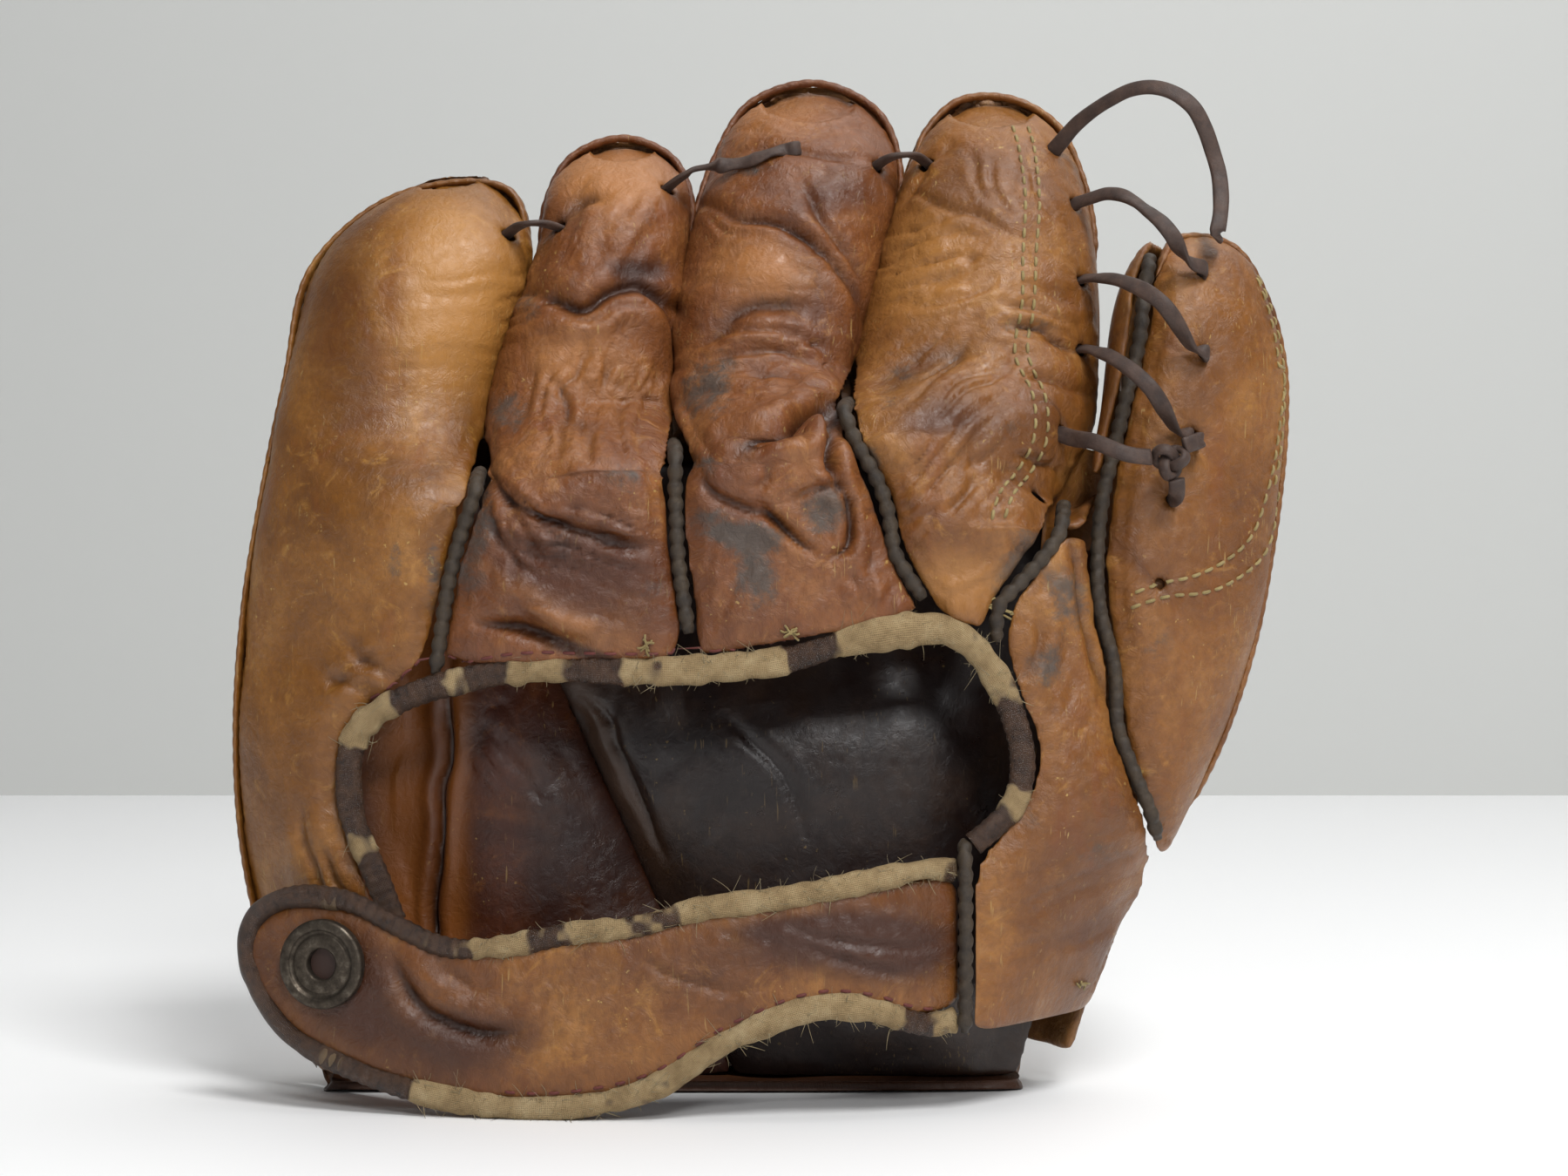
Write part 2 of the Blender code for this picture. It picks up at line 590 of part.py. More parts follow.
def build_palm():
    """Palm and finger fronts: one skin, slit between the fingers, turned under at the heel."""
    fingers = [
        (front_panel(OUTER_LEFT, Edge(*PALM_SEAM_1, *[tuple(q) for q in LITTLE_INNER.p[1:]]), 222.4,
                     [(0, 0), (150, 17), (205, 18), (217, 10), (223, 1.4)], SEAM), 5,
         tip_levels(222.4, 12, 7, 3.2, 1, 0)),
        (front_panel(Edge(*PALM_SEAM_1, *[tuple(q) for q in RING_OUTER.p[1:]]),
                     Edge(*PALM_SEAM_2, *[tuple(q) for q in RING_INNER.p]), 231.5,
                     [(0, 0), (150, 18), (210, 18), (224, 11), (232, 1.4)]), 5,
         [215] + tip_levels(231.5, 10, 5.5, 2.4, 0.8, 0)),
        (front_panel(Edge(*PALM_SEAM_2, *[tuple(q) for q in MIDDLE_OUTER.p]),
                     Edge(*PALM_SEAM_3, *[tuple(q) for q in MIDDLE_INNER.p]), 245.9,
                     [(0, 0), (150, 18), (222, 18), (238, 11), (246.4, 1.4)]), 5,
         [215, 227] + tip_levels(245.9, 11, 6, 2.6, 0.9, 0)),
        (front_panel(Edge(*PALM_SEAM_3, *[tuple(q) for q in INDEX_OUTER.p]),
                     Edge(*PALM_EDGE, *[tuple(q) for q in INDEX_INNER.p]), 243.1,
                     [(0, 0), (150, 18), (218, 19), (235, 11), (243.6, 1.4)], 0, 0), 6,
         [215, 227] + tip_levels(243.1, 9.5, 5.5, 2.4, 0.8, 0)),
    ]
    levels = [4, 12, 26, 42, 60, 78, 96, 112, 126, 138, 148, 156, 165, 176, 188, 200]
    verts, flesh, faces = [], [], []
    for panel, across, tips in fingers:
        rows, inner = [], []
        for k in range(3):
            row = []
            for i in range(across + 1):
                q = panel.point(4, i / across)
                edge = palm_y(q.x, 0.0) - 1.5
                y = edge if k == 2 else lerp(min(SOLE_FRONT, edge - 4), edge, k * 0.5)
                row.append(Vector((q.x * 0.985, y, 0)))
            rows.append(row)
            inner += [Vector((q.x * 0.98, q.y - (1.6 if k == 2 else 0), LEATHER)) for q in row]
        for z in levels + ([206] if tips[0] > 207 and tips[0] < 212 else []) + tips:
            if len(rows) > 3 and z <= rows[-1][0].z + 1e-6:
                continue
            rows.append([panel.point(z, i / across) for i in range(across + 1)])
            inner += [panel.inside(z, i / across, LEATHER) for i in range(across + 1)]
        v, f = grid(rows)
        k = len(verts)
        verts += v
        flesh += inner
        faces += [tuple(k + a for a in q) for q in f]
    for q in flesh:
        q.z = max(q.z, LEATHER)
    shell("palm_shell", verts, flesh, faces, PALM)


FOLD_L = Edge((65.2, 0, 0), (68, 0, 20), (73, 0, 45), (75, 0, 80), (74.5, 0, 120), (74.2, 0, 138))
FOLD_R = Edge((76, 4, 6), (80, 4.5, 20), (84.2, 4.5, 30.4), (91, 4.5, 44.5), (94.6, 5, 53),
              (93, 14, 60), (94, 20, 70), (96, 22, 84), (98, 22, 100), (99, 22, 138))
FRONT_L = Edge((96.2, 6, 55.5), (96, 14, 61), (96.6, 21, 70), (98, 23, 84), (99.6, 22, 100),
               (100.2, 22, 138), (99, 22, 148), (91, 20, 157), (88, 18, 166), (88.5, 18, 180),
               (92, 17, 194), (99, 10, 205), (102, 7, 207.4))


def build_thumb_fronts():
    """The pocket crease beside the thumb, and the thumb's palm side and inner side."""
    rows = []
    for z in (9, 20, 32, 44, 53, 60, 70, 84, 100, 116, 130, 135):
        a, b = FOLD_L.at(z), FOLD_R.at(z)
        row = []
        for i in range(6):
            x = lerp(a.x, b.x - 0.3, i / 5)
            y = palm_y(x, z)
            if i == 5:
                y = lerp(b.y, y, smoothstep(52, 74, z))
            elif i == 4:
                y = lerp(lerp(b.y, y, 0.75), y, smoothstep(52, 74, z))
            row.append(Vector((x, y, z)))
        rows.append(row)
    v, f = grid(rows)
    o = tidy_mesh(add_mesh("pocket_fold", v, f, PALM), (0, 1, 0))
    thicken(o, LEATHER)

    rows, inner = [], []
    for z in [61, 65, 72, 84, 100, 116, 130, 140, 150, 158, 170, 182, 192, 199, 203.6, 206, 207]:
        a, b = FRONT_L.at(z), THUMB_OUTER.at(z)
        b = b - Vector((SEAM, 0, 0))
        low = smoothstep(152, 138, z)
        row = []
        for i in range(7):
            u = i / 6
            q = lerp(a, b, 0.5 - 0.5 * cos(pi * u))
            arch = table([(57, 1), (75, 10), (100, 17), (185, 15), (200, 8), (207, 1)], z)
            q.y += arch * sin(pi * u)
            if u < 0.75:
                q.y = lerp(q.y, palm_y(q.x, z), low * smoothstep(60, 76, z) * (1 - u / 0.75))
            q.y += 0.5 * u
            row.append(q)
            core = Vector(((a.x + b.x) / 2, min(9.0, b.y + 2.5), z))
            reach = core - q
            step = min(LEATHER, 0.62 * reach.length)
            inner.append(q + reach.normalized() * step
                         - Vector((0, 0, LEATHER * smoothstep(196, 207, z))))
        rows.append(row)
    v, f = grid(rows)
    shell("thumb_front", v, inner, f, PALM)

    rows = []
    for z in [148.5, 153, 158, 166, 175, 184, 192, 198, 202, 204.5]:
        near = THUMB_WELT.at(z) + Vector((-WELT_SEAM - 2.2, 0.6, 0))
        far = FRONT_L.at(z) + Vector((-1.2, -0.9, 0))
        side = table([(148, 2.0), (160, 2.2), (185, 2.4), (198, 2), (205, 0.6)], z)
        row = []
        for i in range(6):
            u = i / 5
            q = lerp(near, far, 0.5 - 0.5 * cos(pi * u))
            q.x -= side * sin(pi * u)
            row.append(q)
        rows.append(row)
    v, f = grid(rows)
    o = tidy_mesh(add_mesh("thumb_inner_side", v, f, TAN), (-1, 0, 0))
    thicken(o, 2.4)


def build_crotch():
    """Saddle of leather closing the crotch between index finger and thumb."""
    index_side = [(72.4, -20, 136.8), (72.6, -12, 138), (73, 0, 139.8), (74.4, 10, 140.6), (76, 17, 141.4)]
    thumb_side = [(75.6, -18.5, 138), (77.5, -10, 141), (81, 2, 143.6), (87, 11, 144.6), (96, 16.5, 144.4)]
    rows = []
    for a, b in zip(path(index_side, 7), path(thumb_side, 7)):
        rows.append([lerp(a, b, i / 4) - Vector((0, 0, 1.0 * sin(pi * i / 4))) for i in range(5)])
    v, f = grid(rows)
    thicken(tidy_mesh(add_mesh("crotch_gusset", v, f, TAN), (0, 0, 1)), 2.2)


def build_inside():
    """Lining leather and the felt pads between it and the palm."""
    def lo(z):
        return OUTER_LEFT.at(z).x + 10

    def rows_for(x0, x1, levels, n):
        out = []
        for z in levels:
            out.append([Vector((lerp(x0(z), x1(z), i / n), 0, z)) for i in range(n + 1)])
            for q in out[-1]:
                q.y = lining_y(q.x, q.z)
        return out

    zs = [3.8, 14, 28, 42, 56, 70, 84, 98, 112, 126, 138, 150]
    for name, x0, x1, n, mat in (
            ("lining_little_side", lo, lambda z: crease_x(z) - 0.4, 8, TAN),
            ("lining_palm", lambda z: crease_x(z) + 0.4,
             lambda z: min(69.0, 60 + 0.3 * z), 11, LININGM)):
        v, f = grid(rows_for(x0, x1, zs, n))
        thicken(tidy_mesh(add_mesh(name, v, f, mat), (0, -1, 0)), LINING)

    slab("heel_pad", [4.4, 12, 24, 38, 52], lambda z: lo(z) + 3, lambda z: 62 + 0.1 * z, 12,
         pad_y, skin_inside, FELT)
    slab("little_side_pad", [53.5, 74, 96, 118, 138], lambda z: lo(z) + 2, lambda z: -60, 4,
         pad_y, skin_inside, FELT)
    slab("palm_pad", [53.5, 66, 78, 90, 104, 118, 138], lambda z: -59, lambda z: 69, 10,
         pad_y, skin_inside, FELT)
    slab("thumb_pad", [94, 106, 118, 130], lambda z: 102.5, lambda z: THUMB_OUTER.at(z).x - 9, 3,
         lambda x, z: 7.5, lambda x, z: 13.0, FELT)


def build_welts():
    def lifted(points, lift=0.9):
        return [(x, y + lift, z) for x, y, z in points]

    tube("welt_little_ring", lifted(SEAM_LITTLE_RING[1:] + [(-65.4, -25, 146)]), WELT_R, WELT, 12, 1)
    tube("welt_ring_middle", lifted(SEAM_RING_MIDDLE[1:] + [(-19.7, -22, 154)]), WELT_R, WELT, 12, 1)
    tube("welt_middle_index", lifted(SEAM_MIDDLE_INDEX[1:] + [(20.5, -24, 163.5)]), WELT_R, WELT, 12, 1)
    tube("welt_index_crotch", [(55.4, -29.3, 111.5), (56.0, -29.5, 117), (60.8, -28.8, 122.4),
                               (66, -28, 128), (69.6, -26.6, 133), (71, -23, 137.4)],
         1.1, WELT, 12, 1)
    tube("welt_thumb", [tuple(THUMB_WELT.at(z) + Vector((0, 0.9, 0)))
                        for z in (64.5, 69, 74, 83, 90, 98, 106, 115, 123, 134, 147, 160, 172, 182,
                                  190, 196)],
         WELT_R, WELT, 26, 1)


OPENING = [(-84.5, -24.5, 43.5), (-89.5, -23.5, 55.5), (-94.5, -22, 67), (-95.5, -21.5, 79.5),
           (-93.5, -22.5, 87), (-88.5, -24, 92), (-80.5, -26, 96), (-71, -27.5, 99),
           (-55, -30, 102), (-40, -31.5, 102), (-19, -33, 102), (4, -33.5, 104), (13.5, -33, 106.5),
           (23, -33, 109.5), (32.5, -32.5, 111), (42.5, -31.5, 111.5), (49, -31, 108),
           (54.5, -30, 101), (58.5, -29.5, 92.5), (61, -29, 82.5), (60, -29, 73), (55.5, -30, 67),
           (49.5, -31, 62)]


def build_bindings():
    tube("opening_binding", OPENING, BINDING_R, BIND, 38, 1)


# ---------------------------------------------------------------- wrist strap

def strap_y(x):
    y = -8 - 34 * sqrt(max(0.0, 1 - (x / 132) ** 2))
    return y + 8 * max(0.0, (x - 12) / 34) ** 2


STRAP_TOP = [(45, 56), (38, 56.5), (24, 54), (5, 50.5), (-13.5, 48), (-27.5, 44), (-42, 42.5),
             (-56, 39.5), (-70, 38.5), (-78.5, 41.5), (-86, 45), (-93.5, 48.5), (-102, 50),
             (-110, 49), (-117, 45.5), (-121, 39)]
STRAP_LOW = [(45, 21.5), (38.5, 21), (33, 22.5), (26, 25), (16, 26), (8, 24.5), (0.5, 21.5),
             (-9, 17), (-18.5, 10.5), (-27.5, 6), (-42, 3), (-56, 2.5), (-74.5, 5), (-88.5, 8.5),
             (-101.5, 13.5), (-109.5, 18), (-117, 25), (-121, 32)]
SNAP_AT = (-100, 34.5)


def strap_rows(count, n, inset, shift):
    top = path([(x, 0, z) for x, z in STRAP_TOP], count)
    low = path([(x, 0, z) for x, z in STRAP_LOW], count)
    rows = []
    for a, b in zip(top, low):
        d = (b - a).normalized() * min(inset, (b - a).length * 0.36)
        a, b = a + d, b - d
        row = []
        for i in range(n + 1):
            q = lerp(a, b, i / n)
            q.y = strap_y(q.x) + shift
            row.append(q)
        rows.append(row)
    return rows


def strap_normal(x):
    return Vector((strap_y(x + 1) - strap_y(x - 1), -2, 0)).normalized()


def build_strap():
    v, f = grid(strap_rows(18, 3, 2.8, 0))
    strap = thicken(tidy_mesh(add_mesh("wrist_strap", v, f, RED), (0, -1, 0)), STRAP_T)
    v, f = grid(strap_rows(14, 3, 4.2, STRAP_T + 0.5))
    lining = thicken(tidy_mesh(add_mesh("strap_lining", v, f, LININGM), (0, -1, 0)), 1.3)

    def edge(points, lift):
        return [(x, strap_y(x) + 1.5 + lift, z) for x, z in points]
    tube("strap_top_binding", edge(STRAP_TOP[:14], 0), 1.9, BIND, 26, 1)
    tube("strap_hem_binding", edge(STRAP_LOW[:15], 0.0), 1.9, BIND, 26, 1)
    tube("welt_strap_seam", [(47.5, -33.6, 58), (47.6, -33.8, 48), (47.6, -33.8, 36), (47.6, -33.4, 22)],
         1.4, WELT, 6, 1)

    x, z = SNAP_AT
    n = strap_normal(x)
    q = Vector((x, strap_y(x), z))
    for o in (strap, lining):
        cut(o, disc("snap_hole", q - n * 12, n, 4.4, 20, None, 20, keep=False))
    cap = disc("snap_cap", q + n * 0.7, n, SNAP_D / 2, 2.4, METAL, 32, 1.2)
    cut(cap, disc("snap_dimple", q + n * 1.9, n, 3.6, 6, None, 24, keep=False))
    post = disc("snap_socket", q - n * 5.8, n, 3.9, 5.9, METAL, 20)
    cut(post, disc("socket_bore", q - n * 8, n, 2.8, 5.2, None, 16, keep=False))
    disc("snap_stud", q - n * (TAB_DEPTH - 0.3), n, 2.2, 2.5, METAL, 16, 0.5)

    # the tab under the tongue that carries the stud
    rows = []
    for k in range(7):
        t = k / 6
        x0 = lerp(-94, -116, t)
        half = 9.5 * sqrt(max(0.05, 1 - max(0, (t - 0.55) / 0.47) ** 2))
        centre = lerp(26, 21, t) + (3.5 if t < 0.6 else 1.5)
        row = []
        for i in range(4):
            zz = centre + half * (2 * i / 3 - 1)
            base = Vector((x0, strap_y(x0), zz)) - strap_normal(x0) * TAB_DEPTH
            row.append(base)
        rows.append(row)
    v, f = grid(rows)
    thicken(tidy_mesh(add_mesh("stud_tab", v, f, WELT), (0, -1, 0)), 2.0)


# ---------------------------------------------------------------- stitches and laces

def on_panel(panel, marks, lift):
    """Points resting `lift` above a panel, from (height, share of width) marks."""
    pts, nrm = [], []
    for z, u in marks:
        n = panel.normal(z, u)
        pts.append(panel.point(z, u) + n * lift)
        nrm.append(n)
    return pts, nrm


def thread(name, pts):
    """A row of stitching whose straight runs follow the panel's own rows."""
    o = tube(name, pts, 0.45, THREAD, len(pts), 1)
    for p, q in zip(o.data.splines[0].points, pts):
        p.co = (*(q * MM), 1)
    return o


def build_stitching():
    heights = [233.6, 227, 215, 200, 188, 176, 165, 156, 148, 142, 136]
    shares = {"index_stitching_outer": [0.58, 0.585, 0.59, 0.59, 0.59, 0.58, 0.565, 0.545, 0.525, 0.53, 0.56],
              "index_stitching_inner": [0.66, 0.65, 0.64, 0.63, 0.625, 0.615, 0.60, 0.585, 0.577, 0.59, 0.61]}
    for name, share in shares.items():
        pts, _ = on_panel(INDEX_BACK, list(zip(heights, share)), 1.15)
        thread(name, pts)
    outer = [(116, 0.13), (119, 0.30), (121, 0.50), (130, 0.72), (145, 0.78), (160, 0.80),
             (175, 0.82), (190, 0.84), (197, 0.84)]
    inner = [(119, 0.13), (122, 0.28), (125, 0.45), (133, 0.62), (147, 0.69), (160, 0.71),
             (175, 0.74), (190, 0.75), (196, 0.74)]
    for name, marks in (("thumb_stitching_outer", outer), ("thumb_stitching_inner", inner)):
        pts, _ = on_panel(THUMB_BACK, marks, 1.5)
        tube(name, pts, 0.45, THREAD, 20, 1)


def u_at(panel, x, z):
    """Share of the width at which a panel reaches a given X at a given height."""
    lo, hi = 0.0, 1.0
    for _ in range(24):
        mid = (lo + hi) / 2
        if panel.point(z, mid).x < x:
            lo = mid
        else:
            hi = mid
    return (lo + hi) / 2


def spot(panel, x, z):
    u = u_at(panel, x, z)
    return panel.point(z, u), panel.normal(z, u)


KNOT_AT = Vector((95.5, -27.2, 150.5))   # where the lowest web lace is knotted on the thumb

# Lace holes as (X, height) on the back of each finger.
THUMB_HOLES = [(105.5, 196), (105, 176), (102, 156), (97, 142), (94.5, 122)]
INDEX_HOLES = [(72, 228), (76.5, 214), (77.5, 195), (77.0, 178), (71.5, 157), (65.5, 144)]
TIP_HOLES = [("little_finger_back", LITTLE_BACK, -60.5, 207), ("ring_finger_back", RING_BACK, -48.5, 208),
             ("ring_finger_back", RING_BACK, -22.5, 218), ("middle_finger_back", MIDDLE_BACK, -8, 224),
             ("middle_finger_back", MIDDLE_BACK, 29, 224), ("index_finger_back", INDEX_BACK, 40.5, 225)]


def dive(panel, x, z, depth=5.5):
    """Lace points leaving a hole: inside the stall, then proud of the leather."""
    q, n = spot(panel, x, z)
    return (q - n * (LEATHER + depth), n), (q + n * 1.9, n)


def build_laces():
    objects = bpy.data.objects
    for k, (x, z) in enumerate(THUMB_HOLES):
        q, n = spot(THUMB_BACK, x, z)
        punch(objects["thumb_back"], q, n, HOLE_D + 1.6 * (k == 2))
    for x, z in INDEX_HOLES:
        q, n = spot(INDEX_BACK, x, z)
        punch(objects["index_finger_back"], q, n)
    for name, panel, x, z in TIP_HOLES:
        q, n = spot(panel, x, z)
        punch(objects[name], q, n)

    side = Vector((0, 0, 1))
    webs = [("web_lace_loop", [(80, 4, 236), (92, -4, 241), (103, -8, 236), (109, -8, 222),
                               (109.5, -12, 212)], THUMB_HOLES[0]),
            ("web_lace_top", [(86, -6, 215), (95, -20, 206)], THUMB_HOLES[0]),
            ("web_lace_upper", [(86, -17, 193), (94, -25, 187)], THUMB_HOLES[1]),
            ("web_lace_middle", [(84, -22, 174), (91, -28, 167)], THUMB_HOLES[2]),
            ("web_lace_lower", [(78, -25, 155), (85, -29, 152)], None)]
    for k, (name, mids, target) in enumerate(webs):
        (a0, n0), (a1, _) = dive(INDEX_BACK, *INDEX_HOLES[k])
        shift = {"web_lace_loop": 1.0, "web_lace_top": -1.0}.get(name, 0.0)
        if target is None:
            pts = [a0, a1] + [Vector(m) for m in mids] + [KNOT_AT - Vector((4.6, 0.3, -0.8))]
            ribbon(name, pts, [n0, n0] + [Vector((0, -1, 0.3))] * (len(mids) + 1), LACE, count=14)
            continue
        q, n1 = spot(THUMB_BACK, *target)
        top = Vector((shift * 1.2, 0, shift * 0.8))
        b1 = q + n1 * (2.2 + 2.2 * (shift < 0)) + top
        b0 = q - n1 * (LEATHER + 5)
        if shift > 0:
            pts = [a0, a1] + [Vector(m) for m in mids] + [q + n1 * 4 + Vector((1.5, 0, 7))]
            nrm = [n0, n0] + [Vector((0, -1, 0.2))] * len(mids) + [n1]
        elif shift < 0:
            pts = [a0, a1] + [Vector(m) for m in mids] + [b1 + Vector((-5, -1, 1)), q + n1 * 0.8, b0]
            nrm = [n0, n0] + [Vector((0, -1, 0.4))] * len(mids) + [n1, Vector((-1, 0, 0)), Vector((-1, 0, 0))]
        else:
            left = Vector((-0.9, 0, 0.6)) if name == "web_lace_middle" else Vector()
            pts = [a0, a1] + [Vector(m) for m in mids]
            pts += [b1 + Vector((-4, -0.6, 1)) + left, q + n1 * 0.8 + left, b0 + left]
            nrm = [n0, n0] + [Vector((0, -1, 0.4))] * len(mids) + [n1, Vector((-1, 0, 0)), Vector((-1, 0, 0))]
        ribbon(name, pts, nrm, LACE, count=16)

    for k, name in enumerate(("tip_lace_little_ring", "tip_lace_ring_middle", "tip_lace_middle_index")):
        _, pa, xa, za = TIP_HOLES[2 * k]
        _, pb, xb, zb = TIP_HOLES[2 * k + 1]
        (a0, na), (a1, _) = dive(pa, xa, za)
        (b0, nb), (b1, _) = dive(pb, xb, zb)
        mid = (a1 + b1) / 2 + Vector((0, -3.5, 0.5))
        ribbon(name, [a0, a1, mid, b1, b0], [side, side, side, side, side], LACE, count=13)

    knot = KNOT_AT
    me = bpy.data.meshes.new("web_lace_knot")
    bm = bmesh.new()
    bmesh.ops.create_icosphere(bm, subdivisions=2, radius=1.0)
    for v in bm.verts:
        v.co = (knot + Vector((v.co.x * 3.4, v.co.y * 2.2, v.co.z * 3.0))) * MM
    bm.to_mesh(me)
    bm.free()
    me.materials.append(LACE)
    glove.objects.link(bpy.data.objects.new("web_lace_knot", me))
    for name, hole, start in (("web_lace_tail_up", THUMB_HOLES[2], Vector((3.2, -0.4, 3.4))),
                              ("web_lace_tail_down", THUMB_HOLES[3], Vector((1.4, -0.2, -4.4)))):
        q, n = spot(THUMB_BACK, *hole)
        a = knot + start
        q = q + Vector((1.1, 0, -0.4)) * (name.endswith("up"))
        ribbon(name, [a, a.lerp(q + n * 2.6, 0.55) + Vector((0, -0.8, 0)), q + n * 1.2,
                      q - n * (LEATHER + 4)],
               [n, n, Vector((-1, 0, 0)), Vector((-1, 0, 0))], LACE, count=9)


# ---------------------------------------------------------------- joints and placing

THUMB_AXIS = Vector((84, 4, 0))       # upright hinge line beside the pocket crease
STRAP_AXIS = Vector((47.5, -34, 38))  # the seam the strap swings on
THUMB_BODY = ("thumb_back", "thumb_front", "thumb_inner_side", "thumb_pad", "thumb_stitching_outer",
              "thumb_stitching_inner", "web_lace_knot", "web_lace_tail_up", "web_lace_tail_down",
              "welt_thumb")
STRAP_BODY = ("wrist_strap", "strap_lining", "strap_top_binding", "strap_hem_binding", "snap_cap",
              "snap_socket")


def world_bounds():
    graph = bpy.context.evaluated_depsgraph_get()
    low, high = Vector((1e9,) * 3), Vector((-1e9,) * 3)
    for o in glove.objects:
        if o.type == "EMPTY":
            continue
        e = o.evaluated_get(graph)
        me = e.to_mesh()
        for v in me.vertices:
            q = e.matrix_world @ v.co
            low = Vector(map(min, low, q))
            high = Vector(map(max, high, q))
        e.to_mesh_clear()
    return low, high


def place():
    """Stand the glove on z = 0 about its middle, each moving group hung from its joint's axis."""
    low, high = world_bounds()
    shift = Vector((-(low.x + high.x) / 2, -(low.y + high.y) / 2, -low.z))
    for o in bpy.data.objects:
        o.location = o.location + shift
    for name, at, members in (("thumb_axis", THUMB_AXIS, THUMB_BODY), ("strap_axis", STRAP_AXIS, STRAP_BODY)):
        e = bpy.data.objects.new(name, None)
        e.empty_display_size = 0.02
        e.location = at * MM + shift
        glove.objects.link(e)
        for m in members:
            o = bpy.data.objects[m]
            o.parent = e
            o.location = o.location - e.location


def main():
    clear_scene()
    build_backs()
    build_palm()
    build_thumb_fronts()
    build_crotch()
    build_inside()
    build_welts()
    build_bindings()
    build_strap()
    build_stitching()
    build_laces()
    place()


main()
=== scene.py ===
"""Looks of a vintage left-hand five-finger fielder's glove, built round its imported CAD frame.

Every leather panel starts from its CAD solid, is refined to a fine even mesh and then worn in:
creases, wrinkles, puckers and swellings are pushed into the mesh, and the shaders add grain,
scuffs and scratches. Lengths are millimetres until a mesh is made.
"""
from math import cos, pi, sin

import bmesh
import bpy
import numpy as np
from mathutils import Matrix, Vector, kdtree
from mathutils.bvhtree import BVHTree


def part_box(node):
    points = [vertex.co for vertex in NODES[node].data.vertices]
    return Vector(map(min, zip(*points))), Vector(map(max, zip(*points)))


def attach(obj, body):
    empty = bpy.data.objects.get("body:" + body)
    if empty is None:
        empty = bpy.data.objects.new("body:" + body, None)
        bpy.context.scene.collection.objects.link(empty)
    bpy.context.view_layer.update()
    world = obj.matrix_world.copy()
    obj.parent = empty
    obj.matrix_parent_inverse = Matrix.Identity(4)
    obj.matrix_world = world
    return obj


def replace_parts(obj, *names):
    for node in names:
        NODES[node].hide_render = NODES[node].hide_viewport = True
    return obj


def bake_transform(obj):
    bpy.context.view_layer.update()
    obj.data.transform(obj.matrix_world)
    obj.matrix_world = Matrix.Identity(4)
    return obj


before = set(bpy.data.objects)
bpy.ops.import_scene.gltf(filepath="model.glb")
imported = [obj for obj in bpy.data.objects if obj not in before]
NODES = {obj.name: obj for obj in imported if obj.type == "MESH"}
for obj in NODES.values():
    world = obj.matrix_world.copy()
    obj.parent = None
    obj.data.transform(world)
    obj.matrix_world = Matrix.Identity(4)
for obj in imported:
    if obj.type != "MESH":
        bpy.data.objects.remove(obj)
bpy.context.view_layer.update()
MM = 0.001
GLOVE, THUMB, STRAP = "glove", "thumb", "strap"

CAMERA_AT = (4.5, -697.3, 121.0)   # level with the glove's middle, looking along +Y
CAMERA_LENS = 66.7
FINGER_SHEET = -9.3                # creases are drawn on flat sheets seen from the camera
BACK_SHEET = -27.3
WALL_Y = 0.997
LACE_WIDTH, LACE_THICK = 3.9, 1.4
STITCH_PITCH = 3.6
TABLE_GAP = 0.1                    # no soft piece comes closer to the table than this
WELD = 0.00003                     # points of a CAD mesh this close (m) are one point
SHARP = 0.9                        # angle between faces (rad) that marks a cut edge
TAPE_SIDES = 20
FIBRES_PER_MM = 2.4


# ---------------------------------------------------------------- numbers in bulk

def hash01(i, j, k, seed):
    """A repeatable value from 0 to 1 for each whole-number cell."""
    n = (i * 73856093) ^ (j * 19349663) ^ (k * 83492791) ^ (seed * 2654435761)
    n = (n ^ (n >> 13)) * 1274126177 & 0x7FFFFFFF
    return ((n ^ (n >> 16)) & 0xFFFFF) / 0xFFFFF


def noise(p, size, seed=0):
    """Smooth value noise from -1 to 1 at points p, with features about `size` mm across."""
    q = p / np.asarray(size, float)
    cell = np.floor(q).astype(np.int64)
    f = q - cell
    f = f * f * f * (f * (f * 6 - 15) + 10)
    total = np.zeros(len(p))
    for dx in (0, 1):
        wx = f[:, 0] if dx else 1 - f[:, 0]
        for dy in (0, 1):
            wy = f[:, 1] if dy else 1 - f[:, 1]
            for dz in (0, 1):
                wz = f[:, 2] if dz else 1 - f[:, 2]
                total += wx * wy * wz * hash01(cell[:, 0] + dx, cell[:, 1] + dy, cell[:, 2] + dz, seed)
    return total * 2 - 1


def fade(a, b, v):
    """Smoothly from 0 at a to 1 at b."""
    t = np.clip((v - a) / (b - a), 0, 1)
    return t * t * (3 - 2 * t)


def stroke_distance(uv, stroke):
    """Distance from each (u, v) to a polyline, and how far along it the nearest point lies (0 to 1)."""
    pts = smooth_line(stroke, 6 * (len(stroke) - 1) + 1)
    best = np.full(len(uv), 1e9)
    where = np.zeros(len(uv))
    for k in range(len(pts) - 1):
        a, b = pts[k], pts[k + 1]
        d = b - a
        t = np.clip(((uv - a) @ d) / max(d @ d, 1e-9), 0, 1)
        r = np.hypot(*(uv - a - t[:, None] * d).T)
        closer = r < best
        best[closer] = r[closer]
        where[closer] = ((k + t) / (len(pts) - 1))[closer]
    return best, where


